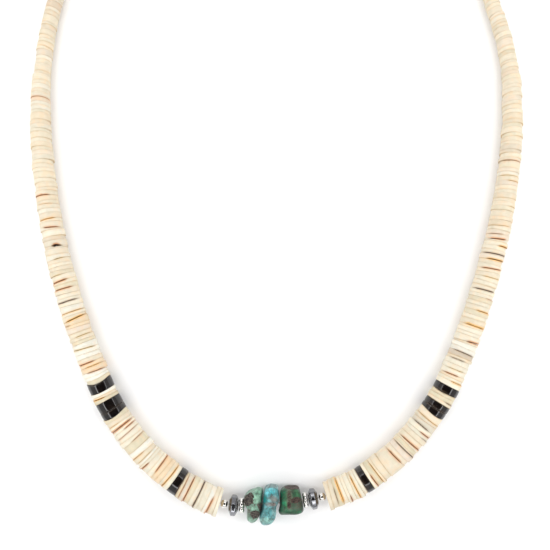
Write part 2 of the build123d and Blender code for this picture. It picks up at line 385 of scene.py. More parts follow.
@dataclass(frozen=True)
class TumbledTurquoise(Finish):
    """Turquoise in its host rock, tumbled to a soft polish.

    The stone is clouded and freckled, and the harder brown rock runs through it in duller,
    pitted patches and hair veins.
    """

    title: str
    rock: tuple[str, str]
    vein_share: float = 0.35
    vein_colour: str = "#4A3B30"
    cloud_mm: float = 1.3
    freckle_mm: float = 0.30
    vein_mm: float = 1.5
    breakup_mm: float = 0.38
    freckle_depth: float = 0.45
    roughness: Pair = (0.30, 0.52)

    def surface(self, add: Add) -> Socket:
        """Clouds, freckles and veins over the stone's colours, with the rock broken up.

        Args:
            add: Adds a node.

        Returns:
            The shader.
        """
        place = {"Vector": self.millimetres(add)}
        stone = add("Attribute", {"attribute_name": "stone"}, out="Color")
        rock = add("Attribute", {"attribute_name": "rock"}, out="Fac")
        dark, pale = (linear(code) for code in self.rock)
        clouds = add("TexNoise", {"Scale": 1 / self.cloud_mm, "Detail": 4.0, "Roughness": 0.6}, place)
        stops = ((0.34, (0.42, 0.44, 0.44, 1)), (0.50, WHITE_LIGHT), (0.66, (1.45, 1.4, 1.4, 1)))
        shade = add("ValToRGB", {"stops": stops}, {"Fac": clouds})
        clouded = add("Mix", MULTIPLY | {0: 1.0}, {6: stone, 7: shade}, 2)
        fine = {"Scale": 1 / self.freckle_mm, "Detail": 2.0, "Roughness": 0.7}
        freckles = add("TexNoise", fine, place)
        spotted = dict(zip(RANGE, (0.56, 0.68, 0.0, self.freckle_depth)))
        dots = add("MapRange", spotted, {"Value": freckles})
        freckled = add("Mix", {"data_type": "RGBA", 7: pale}, {0: dots, 6: clouded}, 2)
        netted = {"feature": "DISTANCE_TO_EDGE", "Scale": 1 / self.vein_mm, "Randomness": 1.0}
        cracks = add("TexVoronoi", netted, place, "Distance")
        thin = dict(zip(RANGE, (0.015, 0.07, self.vein_share, 0.0)))
        hair = add("MapRange", thin, {"Value": cracks})
        vein = {"data_type": "RGBA", 7: linear(self.vein_colour)}
        veined = add("Mix", vein, {0: hair, 6: freckled}, 2)
        broken = {"Scale": 1 / self.breakup_mm, "Detail": 3.0, "Roughness": 0.65}
        breakup = add("TexNoise", broken, place)
        both = add("Math", {"operation": "ADD"}, {0: rock, 1: breakup})
        mask = add("MapRange", dict(zip(RANGE, (0.99, 1.05, 0.0, 1.0))), {"Value": both})
        brown = add("ValToRGB", {"stops": ((0.40, dark), (0.62, pale))}, {"Fac": breakup})
        colour = add("Mix", {"data_type": "RGBA"}, {0: mask, 6: veined, 7: brown}, 2)
        dull = add("MapRange", dict(zip(RANGE[2:], self.roughness)), {"Value": mask})
        pitted = {"Strength": 0.25, "Distance": 0.05 * MM, "invert": True}
        pits = add("Bump", pitted, {"Height": dots})
        ridged = {"Height": breakup, "Normal": pits}
        ridges = add("Bump", {"Strength": 0.35, "Distance": 0.08 * MM}, ridged)
        links = {"Base Color": colour, "Roughness": dull, "Normal": ridges}
        stone_shine = {"IOR": 1.61, "Metallic": 0.0, "Specular IOR Level": 0.25}
        return add("BsdfPrincipled", stone_shine, links)


@dataclass(frozen=True)
class PolishedMetal(Finish):
    """A metal or metal-like bead, polished in a tumbler.

    It mirrors its surroundings, a little blurred by fine hairlines, with a darker film where
    the polish doesn't reach.
    """

    title: str
    colour: str
    film: str
    metallic: float
    roughness: Pair
    hairline_mm: float = 0.18
    film_mm: float = 0.9
    film_share: float = 0.25

    def surface(self, add: Add) -> Socket:
        """A film in clouds over the metal, with hairlines in the gloss and the relief.

        Args:
            add: Adds a node.

        Returns:
            The shader.
        """
        place = {"Vector": self.millimetres(add)}
        film = add("TexNoise", {"Scale": 1 / self.film_mm, "Detail": 3.0}, place)
        worn = add("MapRange", dict(zip(RANGE, (0.52, 0.75, 0.0, self.film_share))), {"Value": film})
        tints = {"data_type": "RGBA", 6: linear(self.colour), 7: linear(self.film)}
        colour = add("Mix", tints, {0: worn}, 2)
        lines = add("TexNoise", {"Scale": 1 / self.hairline_mm, "Detail": 2.0}, place)
        gloss = add("MapRange", dict(zip(RANGE, (0.3, 0.7, *self.roughness))), {"Value": lines})
        relief = add("Bump", {"Strength": 0.05, "Distance": 0.01 * MM}, {"Height": lines})
        links = {"Base Color": colour, "Roughness": gloss, "Normal": relief}
        return add("BsdfPrincipled", {"Metallic": self.metallic}, links)


@dataclass(frozen=True)
class WaxedThread(Finish):
    """Off-white cotton thread, plied and drawn through wax: soft, with fibres in its grooves."""

    title: str = "cotton_thread_waxed"
    fibre_mm: float = 0.08
    colours: tuple[str, str] = ("#D8D0C0", "#F3EEE4")

    def surface(self, add: Add) -> Socket:
        """Fibres in the colour and the relief.

        Args:
            add: Adds a node.

        Returns:
            The shader.
        """
        place = {"Vector": self.millimetres(add)}
        fibres = add("TexNoise", {"Scale": 1 / self.fibre_mm, "Detail": 2.0}, place)
        dark, light = (linear(code) for code in self.colours)
        colour = add("ValToRGB", {"stops": ((0.35, dark), (0.65, light))}, {"Fac": fibres})
        relief = add("Bump", {"Strength": 0.4, "Distance": 0.02 * MM}, {"Height": fibres})
        links = {"Base Color": colour, "Normal": relief}
        return add("BsdfPrincipled", {"Roughness": 0.62, "IOR": 1.45}, links)


@dataclass(frozen=True)
class WhiteCard(Finish):
    """The matt white card that the necklace lies on."""

    title: str = "white_card"
    tooth_mm: float = 0.4
    whiteness: Pair = (0.95, 0.97)

    def surface(self, add: Add) -> Socket:
        """The card's tooth, as a faint change of its white.

        Args:
            add: Adds a node.

        Returns:
            The shader.
        """
        place = {"Vector": self.millimetres(add)}
        tooth = add("TexNoise", {"Scale": 1 / self.tooth_mm, "Detail": 1.0}, place)
        white = add("MapRange", dict(zip(RANGE[2:], self.whiteness)), {"Value": tooth})
        matt = {"Roughness": 0.9, "Specular IOR Level": 0.1}
        return add("BsdfPrincipled", matt, {"Base Color": white})


@dataclass(frozen=True)
class Plain(Finish):
    """An even surface for what is only seen mirrored in the beads."""

    title: str
    kind: str
    settings: dict[str, Any]

    def surface(self, add: Add) -> Socket:
        """Its one shader."""
        return add(self.kind, self.settings)


# Where things sit on the thread
@dataclass
class Seat:
    """Where one drilled bead sits: its middle, its axis along the thread and its size."""

    centre: Array
    axis: Array
    radius: float
    thickness: float
    node: str = ""
    distance: float = 0.0

    def across(self) -> tuple[Array, Array]:
        """Finds the directions across the bead.

        Returns:
            The level and the upward direction square to the axis.
        """
        level = np.cross(self.axis, UP)
        level /= np.linalg.norm(level)
        return level, np.cross(level, self.axis)


def seats_of(node: Object) -> list[Seat]:
    """Measures each drilled solid of a CAD node.

    Args:
        node: The node, whose mesh is in place.

    Returns:
        One seat for each loose solid, in metres.
    """
    work = bmesh.new()
    work.from_mesh(node.data)
    bmesh.ops.remove_doubles(work, verts=work.verts, dist=WELD)
    seats = []
    left = set(work.faces)
    while left:
        group, queue = set(), [left.pop()]
        while queue:
            face = queue.pop()
            group.add(face)
            for other in (other for edge in face.edges for other in edge.link_faces):
                if other in left:
                    left.remove(other)
                    queue.append(other)
        areas = np.array([face.calc_area() for face in group])
        normals = np.array([face.normal for face in group])
        middles = np.array([face.calc_center_median() for face in group])
        spread = (normals * areas[:, None]).T @ normals
        axis = np.linalg.eigh(spread)[1][:, -1]
        points = np.array([vert.co for face in group for vert in face.verts])
        centre = (middles * areas[:, None]).sum(0) / areas.sum()
        along = (points - centre) @ axis
        centre = centre + axis * (along.max() + along.min()) / 2
        off = points - centre - np.outer((points - centre) @ axis, axis)
        radius = float(np.linalg.norm(off, axis=1).max())
        seats.append(Seat(centre, axis, radius, float(np.ptp(along)), node.name))
    work.free()
    return seats


class ThreadLine:
    """The thread's middle line, read from the rings of its CAD solid."""

    # The room between its points, and how far the points of one ring are apart
    step, ring_reach = 0.25 * MM, 0.6 * MM
    # Where the front is, and what keeps the oval's far side from being taken for it
    front_x, behind = -0.65 * MM, 10
    # Over how many steps to each side it is smoothed
    smoothed_steps = 12

    def __init__(self, node: Object) -> None:
        """Reads the line.

        Args:
            node: The thread's CAD node.
        """
        points = points_of(node.data)
        turn = np.arctan2(points[:, 0], -points[:, 1])
        rings: list[list[Array]] = []
        for point in points[np.argsort(turn)]:
            if rings and np.linalg.norm(point - rings[-1][0]) < self.ring_reach:
                rings[-1].append(point)
            else:
                rings.append([point])
        middles = np.array([np.unique(np.round(ring, 7), axis=0).mean(0) for ring in rings])
        runs = np.linalg.norm(np.diff(middles, axis=0), axis=1)
        marks = np.concatenate([[0.0], np.cumsum(runs)])
        self.length = float(marks[-1])
        count = int(self.length / self.step) + 1
        self.marks = np.linspace(0.0, self.length, count)
        line = np.array([np.interp(self.marks, marks, middles[:, k]) for k in range(3)]).T
        self.line = self.smooth(line)
        lead = np.gradient(self.line, axis=0)
        self.lead = lead / np.linalg.norm(lead, axis=1)[:, None]
        off = np.abs(self.line[:, 0] - self.front_x) + self.behind * (self.line[:, 1] > 0)
        self.front = float(self.marks[np.argmin(off)])
        self.tree = kdtree.KDTree(count)
        for number, point in enumerate(self.line):
            self.tree.insert(Vector(point), number)
        self.tree.balance()

    def smooth(self, line: Array) -> Array:
        """Rounds off the small corners where the rings of the arcs were joined.

        Args:
            line: Points a step apart.

        Returns:
            As many points, averaged over a few millimetres.
        """
        reach = self.smoothed_steps
        weights = np.hanning(2 * reach + 3)[1:-1]
        weights /= weights.sum()
        before, after = 2 * line[0] - line[reach:0:-1], 2 * line[-1] - line[-2 : -reach - 2 : -1]
        padded = np.concatenate([before, line, after])
        return np.array([np.convolve(padded[:, k], weights, "valid") for k in range(3)]).T

    def at(self, distance: float) -> tuple[Array, Array]:
        """Finds a place on the thread.

        Args:
            distance: How far along it is from the left end, in metres.

        Returns:
            The point and the thread's direction there.
        """
        point = np.array([np.interp(distance, self.marks, self.line[:, k]) for k in range(3)])
        lead = np.array([np.interp(distance, self.marks, self.lead[:, k]) for k in range(3)])
        return point, lead / np.linalg.norm(lead)

    def distance_of(self, point: Array) -> float:
        """How far along the thread from its left end the point nearest to this one is."""
        return float(self.marks[self.tree.find(Vector(point))[1]])


@dataclass
class Bench:
    """What the pieces are made from: the CAD nodes, the thread's line and the materials."""

    nodes: dict[str, Object]
    line: ThreadLine
    materials: dict[str, Material]

    def seat(self, name: str) -> Seat:
        """The seat of a bead whose axis is the thread's.

        Args:
            name: The bead's CAD node.

        Returns:
            Its middle, its axis along the thread, its reach off the axis and its length.
        """
        low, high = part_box(name)
        centre = np.array((low + high) / 2)
        axis = self.line.at(self.line.distance_of(centre))[1]
        points = points_of(self.nodes[name].data) - centre
        along = points @ axis
        off = np.linalg.norm(points - np.outer(along, axis), axis=1)
        return Seat(centre, axis, float(off.max()), float(np.ptp(along)), name)


# The discs
class Tone(Enum):
    """The colours that the shell was cut from."""

    CREAM = "#E2D6BF"
    IVORY = "#E6DFCC"
    WHITE = "#EBE9DE"
    BEIGE = "#D9CFB4"
    PEACH = "#E4CFB0"
    APRICOT = "#E9BD97"
    BLUSH = "#E4D6C6"
    PEBBLE = "#D6CEBD"
    TAUPE = "#CEBFAC"
    RUSSET = "#D6B9A0"
    BLACK = "#120D0C"


class Gap(Enum):
    """What the grinding left between two discs: its colour inside, and thinly on the rims."""

    AMBER = ("#9A5F1C", "#E7B159")
    OCHRE = ("#96702F", "#DCBC80")
    RUST = ("#5E2A0A", "#CB833C")
    SOOT = ("#291910", "#A08569")
    CHALK = ("#5C5448", "#A79F8E")


@dataclass(frozen=True)
class Opening:
    """A gap that shows.

    Attributes:
        distance: Its distance from the front, in mm.
        width: Its width in mm.
        stain: What it holds.
        start: The share of the strand's width from which it gapes, -1 at the outer edge.
        end: The share up to which it gapes, 1 at the inner edge.
        lean: Degrees, positive where the inner end is farther from the front.
        strength: How strongly it is stained.
        glow: How far the stain reaches over the rims, in mm.
        deep: The share of the width that is open below the worn rims.
    """

    distance: float
    width: float
    stain: Gap
    start: float = -1.5
    end: float = 1.5
    lean: float = 0.0
    strength: float = 1.0
    glow: float = 0.22
    deep: float = 0.34


@dataclass
class Meeting:
    """The surface where two discs meet, the room left there and what the room holds.

    Attributes:
        point: A point of the surface.
        axis: The strand's direction there, away from the front.
        lean: How far the inner end leans away from the front, in radians.
        tip: How far the top leans away from the front, in radians.
        width: The room between the discs where they don't gape, in metres.
        bow: How much farther from the front the edges are than the middle, in metres.
        haze: How much dust the closed part of the joint shows, from 0 to 1.
        opening: The gap that shows, if any.
    """

    point: Array
    axis: Array
    lean: float = 0.0
    tip: float = 0.0
    width: float = 0.0
    bow: float = 0.0
    haze: float = 0.0
    opening: Optional[Opening] = None

    def wide(self) -> float:
        """The width of its gap in metres, or 0 where none shows."""
        return self.opening.width * MM if self.opening else 0.0

    def gape(self, share: Array, fade: float = 0.3) -> Array:
        """How open the joint is at places across the strand.

        Args:
            share: The places, from -1 at the outer edge to 1 at the inner edge.
            fade: The share of the width over which a gap closes at its ends.

        Returns:
            For each place 0 where it is closed to 1 where it is wide open.
        """
        if self.opening is None:
            return np.zeros(len(share))
        rise = np.clip((share - self.opening.start) / fade + 0.5, 0, 1)
        return rise * np.clip((self.opening.end - share) / fade + 0.5, 0, 1)

    def room(self, share: Array) -> Array:
        """Half the room between the discs at places across the strand, in metres."""
        wide = self.opening.width * self.opening.deep * MM if self.opening else 0.0
        return (self.width + max(wide - self.width, 0) * self.gape(share)) / 2


@dataclass(frozen=True)
class DiscShape:
    """How a disc is worked. Lengths are in mm.

    Attributes:
        segments: The steps round the rim.
        rounding: The wear of the rim's edges.
        rounding_steps: The steps of each rounded edge.
        dust_and_shade_rings: How far from the edges the rim's dust and painted joint shade are set.
        rim_wear: The share of a gap's width that the edges beside it are worn by.
        dust: How much of the joints' dust and painted shade it holds.
        crown: How far the rim swells in its middle.
        uneven: How far it is out of round, as a share of its radius.
        smaller: The most that it is smaller, as such a share.
        shift: The most that it sits to a side of the thread.
        chips: The most chips in its edges.
        chip_depth: How deep the deepest chip is.
        hole: The radius of its hole.
        hole_bevel: The width and the height of the hole's bevel.
        squeezed: The least thickness that a lean leaves.
        belt: The room that each ring round the rim takes up.
    """

    segments: int = 44
    rounding: float = 0.055
    rounding_steps: int = 2
    dust_and_shade_rings: tuple[float, ...] = (0.10, 0.26)
    rim_wear: float = 0.15
    dust: float = 1.0
    crown: float = 0.015
    uneven: float = 0.014
    smaller: float = 0.035
    shift: float = 0.16
    chips: int = 2
    chip_depth: float = 0.20
    hole: float = 0.5
    hole_bevel: Pair = (0.06, 0.05)
    squeezed: float = 0.12
    belt: float = 1.2


SHAPES = {
    "shell": DiscShape(),
    "fine": DiscShape(segments=32, rounding=0.08, chip_depth=0.12, smaller=0.05, shift=0.12),
    "black": DiscShape(
        segments=80, rounding=0.20, rounding_steps=6, crown=0.04, uneven=0.004, chips=0, dust=0.1,
        smaller=0.01, shift=0.05,
    ),
}
# The painted shade at the joints: what a disc's tone is multiplied by deep inside a joint
JOINT_SHADE = (0.80, 0.69, 0.55, 1.0)
USUAL_GLOW = Opening.glow
Ring = tuple[Any, Any, int, float, float]


@dataclass
class Disc:
    """One drilled disc between the two surfaces where it meets its neighbours.

    Attributes:
        seat: Where it sits and its radius.
        low: The surface on the side nearer the front.
        high: The surface on the side nearer the clasp.
        tone: The colour of its rim, linear.
        shape: How it is worked.
        inner: 1 where its level direction points into the oval, else -1.
    """

    seat: Seat
    low: Meeting
    high: Meeting
    tone: Array
    shape: DiscShape
    inner: int

    # The slow unevenness round the rim: where it starts, its reach, its part in the wear
    wave_starts, wave_reach, wave_wear = 50, 1.3, 0.6
    # The widest worn edge as a share of the thickness, and the least room for one in mm
    edge_share, edge_room = 0.35, 0.05
    # How much of the dust and painted joint shade is lost over an edge, and what the first ring beyond
    # it holds
    edge_stain_loss, ring_stain = 0.25, 0.45
    # How far in the first stain ring may be, as a share, and how much farther the next
    ring_share, ring_share_step = 0.30, 0.08
    # Where a thin disc's one or two belts stand between its faces
    belt_start, belt_span, thin_belts = 0.42, 0.16, 2
    # A chip's width in radians, and its share of the full depth
    chip_width, chip_share = (0.06, 0.2), (0.3, 1.0)
    # The share of a joint's painted shade that shows on the rim, the dust lost inside it, and the stain
    # of an edge
    rim_shadow, haze_loss, edge_stain = 0.25, 0.3, 0.7

    def cut(self, luck: random.Random) -> tuple[Array, Array, Array]:
        """Cuts the disc.

        Args:
            luck: The seeded source of its unevenness.

        Returns:
            Its points, their colours and their places in the shell's grain, ring by ring.
        """
        seat, shape = self.seat, self.shape
        across, up = seat.across()
        angles = circle(shape.segments)
        seed = luck.random() * self.wave_starts
        reach = self.wave_reach
        turns = [(seed, reach * math.cos(a), reach * math.sin(a)) for a in angles]
        wave = np.array([noise.noise(Vector(turn)) for turn in turns])
        rim = seat.radius * (1 - shape.uneven * (0.5 + wave) - shape.smaller * luck.random() ** 2)
        middle = seat.centre + across * luck.uniform(-1, 1) * shape.shift * MM
        share = np.cos(angles) * self.inner
        sides = {-1: self.low, 1: self.high}
        gapes = {side: meeting.gape(share) for side, meeting in sides.items()}
        worn = self.wear(wave, angles, luck)
        for side, meeting in sides.items():
            worn[side] = worn[side] + shape.rim_wear * meeting.wide() * gapes[side]
        offset = np.array([luck.uniform(0, 90) for _ in range(3)])
        points, tones, grains = [], [], []
        for out, inset, side, stain, depth in self.rings(worn, wave, rim):
            x, y = out * np.cos(angles), out * np.sin(angles)
            low_end = self.height(self.low, x, y) + self.low.room(share)
            high_end = self.height(self.high, x, y) - self.high.room(share)
            thick = np.maximum(high_end - low_end, shape.squeezed * MM)
            height = low_end + {-1: inset, 0: thick * inset, 1: thick - inset}[side]
            points.append(middle + np.outer(x, across) + np.outer(y, up) + np.outer(height, seat.axis))
            gape = gapes[side] if side else np.zeros(shape.segments)
            tones.append(self.stained(sides[side or 1], gape, stain * shape.dust, depth))
            grains.append(np.stack([x, y, height], 1) / MM + offset)
        return np.concatenate(points), np.concatenate(tones), np.concatenate(grains)

    def rings(self, worn: dict[int, Array], wave: Array, rim: Array) -> list[Ring]:
        """The rings from the hole over one edge, the rim and the other edge, back to the hole.

        Args:
            worn: The wear of the two edges, in metres.
            wave: The slow unevenness round the disc.
            rim: The radius round the disc.

        Returns:
            For each ring its radius, how far it is in from its face, its side, its share of dust and
            painted joint shade, and how deep in the joint it is. On side 0 it is a share of the way
            between the faces.
        """
        thickness, shape = self.seat.thickness, self.shape
        slope_room = max(thickness * self.edge_share, self.edge_room * MM)
        bevel, bevel_height = (size * MM for size in shape.hole_bevel)
        hole = np.full(shape.segments, shape.hole * MM)
        found: list[Ring] = []
        for side in (-1, 1):
            edge = np.minimum(worn[side], slope_room)
            ring = [(hole, bevel_height, side, 1.0, 1.0), (hole + bevel, 0.0, side, 1.0, 1.0)]
            for step in range(shape.rounding_steps + 1):
                turned = step / shape.rounding_steps
                angle = turned * math.pi / 2
                out = rim - edge * (1 - math.sin(angle))
                down = edge * (1 - math.cos(angle))
                stain = 1.0 - self.edge_stain_loss * turned
                ring.append((out, down, side, stain, 1.0 - turned))
            for number, inset in enumerate(shape.dust_and_shade_rings):
                farthest = thickness * (self.ring_share + self.ring_share_step * number)
                reach = np.minimum(edge + inset * MM, farthest)
                ring.append((rim, reach, side, self.ring_stain / (1 + 2 * number), 0.0))
            found += ring if side < 0 else ring[::-1]
            belts = max(1, round(thickness / (shape.belt * MM))) if side < 0 else 0
            for belt in range(1, belts + 1):
                place = belt / (belts + 1)
                if belts <= self.thin_belts:
                    place = self.belt_start + self.belt_span * belt / (belts + 1)
                swell = shape.crown * MM * math.sin(place * math.pi)
                found.append((rim + swell * (1 + wave), place, 0, 0.0, 0.0))
        return found

    def wear(self, wave: Array, angles: Array, luck: random.Random) -> dict[int, Array]:
        """How far each rim edge is worn away round the disc.

        Args:
            wave: The slow unevenness round the disc.
            angles: The angles round the disc.
            luck: The seeded source of the chips.

        Returns:
            The wear in metres for the side nearer the front, -1, and the other, 1.
        """
        rounding = self.shape.rounding * MM * (1 + self.wave_wear * wave)
        worn = {-1: rounding.copy(), 1: rounding.copy()}
        for _ in range(luck.randint(0, self.shape.chips)):
            where = luck.random() * 2 * math.pi
            width = luck.uniform(*self.chip_width)
            turn = np.abs((angles - where + math.pi) % (2 * math.pi) - math.pi)
            depth = luck.uniform(*self.chip_share) * self.shape.chip_depth * MM
            worn[luck.choice((-1, 1))] += depth * np.exp(-((turn / width) ** 2))
        return worn

    def stained(self, meeting: Meeting, gape: Array, stain: float, depth: float) -> Array:
        """The colours of one ring of points, with the dust of the joint beside it and painted shade.

        Args:
            meeting: The joint beside the ring.
            gape: How open the joint is round the disc.
            stain: How much dust and painted joint shade the ring holds, from 0 to 1.
            depth: How deep in the joint the ring is, from 0 on the rim to 1 inside.

        Returns:
            One linear colour for each point.
        """
        # Painted shade: beside every joint the tone is darkened, most of all deep inside it
        closed = stain * (self.rim_shadow + (1 - self.rim_shadow) * depth)
        shadow = self.tone * np.array(JOINT_SHADE)
        colours = np.tile(self.tone * (1 - closed) + shadow * closed, (len(gape), 1))
        haze = meeting.haze * stain * (1 - self.haze_loss * depth)
        colours = colours * (1 - haze) + np.array(linear(Gap.OCHRE.value[1])) * haze
        if meeting.opening is None:
            return colours
        deep, thin = (np.array(linear(code)) for code in meeting.opening.stain.value)
        dust = deep * depth + thin * (1 - depth)
        reach = stain
        if depth <= 0 and stain <= self.edge_stain:
            reach = stain * meeting.opening.glow / USUAL_GLOW
        weight = np.clip(gape * reach * meeting.opening.strength, 0, 1)[:, None]
        return colours * (1 - weight) + dust * weight

    def height(self, meeting: Meeting, x: Array, y: Array) -> Array:
        """How far along the disc's axis a meeting surface is, over points across the disc.

        Args:
            meeting: The surface.
            x: The points' distances along the level direction.
            y: The points' distances upwards.

        Returns:
            The distances from the disc's middle, in metres.
        """
        seat = self.seat
        across, up = seat.across()
        normal = meeting.axis - across * self.inner * math.tan(meeting.lean)
        normal = normal - up * math.tan(meeting.tip)
        start = (meeting.point - seat.centre) @ normal
        level = (start - x * (across @ normal) - y * (up @ normal)) / (seat.axis @ normal)
        return level + meeting.bow * (x / seat.radius) ** 2


@dataclass
class Strand:
    """One side of the necklace: its shell discs, its black discs and the fine discs above.

    Attributes:
        side: left or right.
        seed: The seed of its unevenness.
        patches: Where the shell is of one tone, as distances from the front in mm.
        openings: The gaps that show.
        bows: Joints that are bowed: their distance from the front and their bow, in mm.
        closed_gap: The least and the most room in a joint without a gap, in mm.
        lean_degrees: How much the joints lean to either side.
        tip_degrees: How much they tip to the front or the back.
        tip_course: Distances from the front in mm, and how far the joints tip there in degrees.
        thinnest: The least thickness that a lean leaves at a disc's edge, in mm.
        largest_move: How far a joint moves to its gap, in mm.
        hazy_share: The share of the joints that show dust.
        evenness: Distances from the front in mm, and how alike the tones are there, up to 1.
        fine_rooms: The rooms of the fine discs, in mm, which repeat.
        tone_shares: How often each tone comes where no patch names one.
    """

    side: str
    seed: int
    patches: dict[Tone, tuple[Pair, ...]]
    openings: Sequence[Opening]
    bows: tuple[Pair, ...]
    closed_gap: Pair = (0.005, 0.03)
    lean_degrees: float = 1.2
    tip_degrees: float = 0.8
    tip_course: tuple[Pair, ...] = ((0, 0.0), (90, 0.0), (140, 11.0), (215, 11.0), (240, 0.0))
    thinnest: float = 0.30
    largest_move: float = 0.30
    hazy_share: float = 0.45
    evenness: tuple[Pair, ...] = ((60, 0.0), (80, 0.3), (105, 0.6))
    fine_rooms: tuple[float, ...] = (0.9, 1.3, 0.8, 1.7, 1.0, 1.15, 2.1, 0.75, 1.25, 1.5, 0.95)
    tone_shares: tuple[tuple[Tone, float], ...] = (
        (Tone.CREAM, 6.0), (Tone.IVORY, 5.0), (Tone.WHITE, 0.8), (Tone.BEIGE, 1.6),
        (Tone.PEACH, 0.7), (Tone.BLUSH, 1.8), (Tone.PEBBLE, 0.5),
    )

    # How far round its middle a fine stretch is measured, and the room between two discs, in mm
    measured, fine_gap = 6, 0.1
    # The most that a fine disc is smaller, the number of sizes and how far apart they are taken
    fine_smaller, fine_sizes, fine_stride = 0.02, 5, 7
    # How much dust a hazy joint shows, and from a disc's face to its joint's middle in mm
    hazes, half_gap = (0.08, 0.4), 0.07
    # The share of its bow that a bowed joint's middle is set back
    bow_back = 0.4
    # How much brighter or darker a disc is than its tone, and how often turns are evened out
    lifts, rounds = (0.95, 1.05), 4

    def collect(self, bench: Bench) -> list[Seat]:
        """Finds every disc of this side.

        Args:
            bench: The CAD nodes and the thread's line.

        Returns:
            The seats from the front outwards, with axes that point outwards.
        """
        kinds = ("shell_disc", "black_disc", "shell_string")
        line, seats = bench.line, []
        for name, node in bench.nodes.items():
            if name.startswith(tuple(f"{kind}_{self.side}" for kind in kinds)):
                seats += seats_of(node)
        seats += self.fine_seats(bench.nodes[f"fine_string_{self.side}"], line)
        for seat in seats:
            place = line.distance_of(seat.centre)
            seat.distance = abs(place - line.front)
            outwards = line.at(place)[1] * math.copysign(1, place - line.front)
            if seat.axis @ outwards < 0:
                seat.axis = -seat.axis
        return sorted(seats, key=lambda seat: seat.distance)

    def fine_seats(self, node: Object, line: ThreadLine) -> list[Seat]:
        """Divides the fine stretches into discs.

        Args:
            node: The CAD node of the fine stretches.
            line: The thread's middle line.

        Returns:
            A seat for each fine disc.
        """
        middles = sorted(line.distance_of(seat.centre) for seat in seats_of(node))
        places = points_of(node.data)
        marks = [line.distance_of(place) for place in places]
        start, end = min(marks), max(marks)
        sizes = []
        for middle in middles:
            near = [p for p, m in zip(places, marks) if abs(m - middle) < self.measured * MM]
            sizes.append(max(np.linalg.norm(p - line.at(line.distance_of(p))[0]) for p in near))
        rooms, total = [], 0.0
        while total < (end - start) / MM:
            rooms.append(self.fine_rooms[len(rooms) % len(self.fine_rooms)])
            total += rooms[-1]
        scale = (end - start) / total
        seats = []
        place = start
        for number, room in enumerate(rooms):
            width = room * scale
            middle, lead = line.at(place + width / 2)
            radius = float(np.interp(place + width / 2, middles, sizes))
            size = number * self.fine_stride % self.fine_sizes
            smaller = self.fine_smaller * size / (self.fine_sizes - 1)
            radius = min(radius * (1 - smaller), middle[2])
            seats.append(Seat(middle, lead, radius, width - self.fine_gap * MM, node.name))
            place += width
        return seats

    def meetings(self, seats: Sequence[Seat], luck: random.Random) -> list[Meeting]:
        """Settles where neighbouring discs meet, how the faces lean and what shows between.

        Args:
            seats: The discs from the front outwards.
            luck: The seeded source of the leans.

        Returns:
            One more meeting than there are discs; the first and last are the strand's ends.
        """
        first, last = seats[0], seats[-1]
        found = [Meeting(first.centre - first.axis * first.thickness / 2, first.axis)]
        marks = [0.0]
        for near, far in zip(seats, seats[1:]):
            near_end = near.centre + near.axis * near.thickness / 2
            far_end = far.centre - far.axis * far.thickness / 2
            axis = near.axis + far.axis
            meeting = Meeting((near_end + far_end) / 2, axis / np.linalg.norm(axis))
            meeting.lean = math.radians(luck.gauss(0, self.lean_degrees))
            leaning = float(np.interp(near.distance / MM, *zip(*self.tip_course)))
            meeting.tip = math.radians(leaning + luck.gauss(0, self.tip_degrees))
            meeting.width = luck.uniform(*self.closed_gap) * MM
            if luck.random() < self.hazy_share:
                meeting.haze = luck.uniform(*self.hazes)
            found.append(meeting)
            marks.append((near.distance + near.thickness / 2 + self.half_gap * MM) / MM)
        found.append(Meeting(last.centre + last.axis * last.thickness / 2, last.axis))
        marks.append(math.inf)
        self.open_up(found, marks, seats)
        self.keep_apart(found, seats)
        return found

    def open_up(
        self, found: Sequence[Meeting], marks: Sequence[float], seats: Sequence[Seat]
    ) -> None:
        """Gives each opening and each bow to the joint nearest to it.

        Args:
            found: The joints from the front outwards.
            marks: Their distances from the front, in mm.
            seats: The discs between them.
        """
        joints = range(len(marks))
        for opening in self.openings:
            number = min(joints, key=lambda k: abs(marks[k] - opening.distance))
            meeting = found[number]
            if meeting.opening is not None:
                log.info("%s: two gaps at %.1f mm", self.side, opening.distance)
                continue
            meeting.opening = opening
            meeting.lean = math.radians(opening.lean)
            beside = seats[number - 1].node + seats[min(number, len(seats) - 1)].node
            off = opening.distance - marks[number]
            if "black" not in beside:
                move = float(np.clip(off, -self.largest_move, self.largest_move))
                meeting.point = meeting.point + meeting.axis * move * MM
            if abs(off) > self.largest_move:
                log.info("%s: gap at %.1f mm is %.2f mm off", self.side, opening.distance, off)
        for distance, bow in self.bows:
            number = min(joints, key=lambda k: abs(marks[k] - distance))
            meeting = found[number]
            meeting.bow = bow * MM
            meeting.point = meeting.point - meeting.axis * bow * MM * self.bow_back

    def keep_apart(self, found: Sequence[Meeting], seats: Sequence[Seat]) -> None:
        """Turns the joints without a gap so that no disc is thinner than it may be anywhere.

        Args:
            found: The joints from the front outwards.
            seats: The discs between them.
        """
        for seat, low, high in self.rounds * list(zip(seats, found, found[1:])):
            spare = (high.point - low.point) @ seat.axis - self.thinnest * MM
            limit = math.atan(max(spare, 0) / seat.radius)
            apart = high.lean - low.lean
            if abs(apart) <= limit:
                continue
            excess = math.copysign(abs(apart) - limit, apart)
            low_share = 0.0 if low.opening else 1.0
            if bool(low.opening) == bool(high.opening):
                low_share = 0.5
            low.lean += excess * low_share
            high.lean -= excess * (1 - low_share)

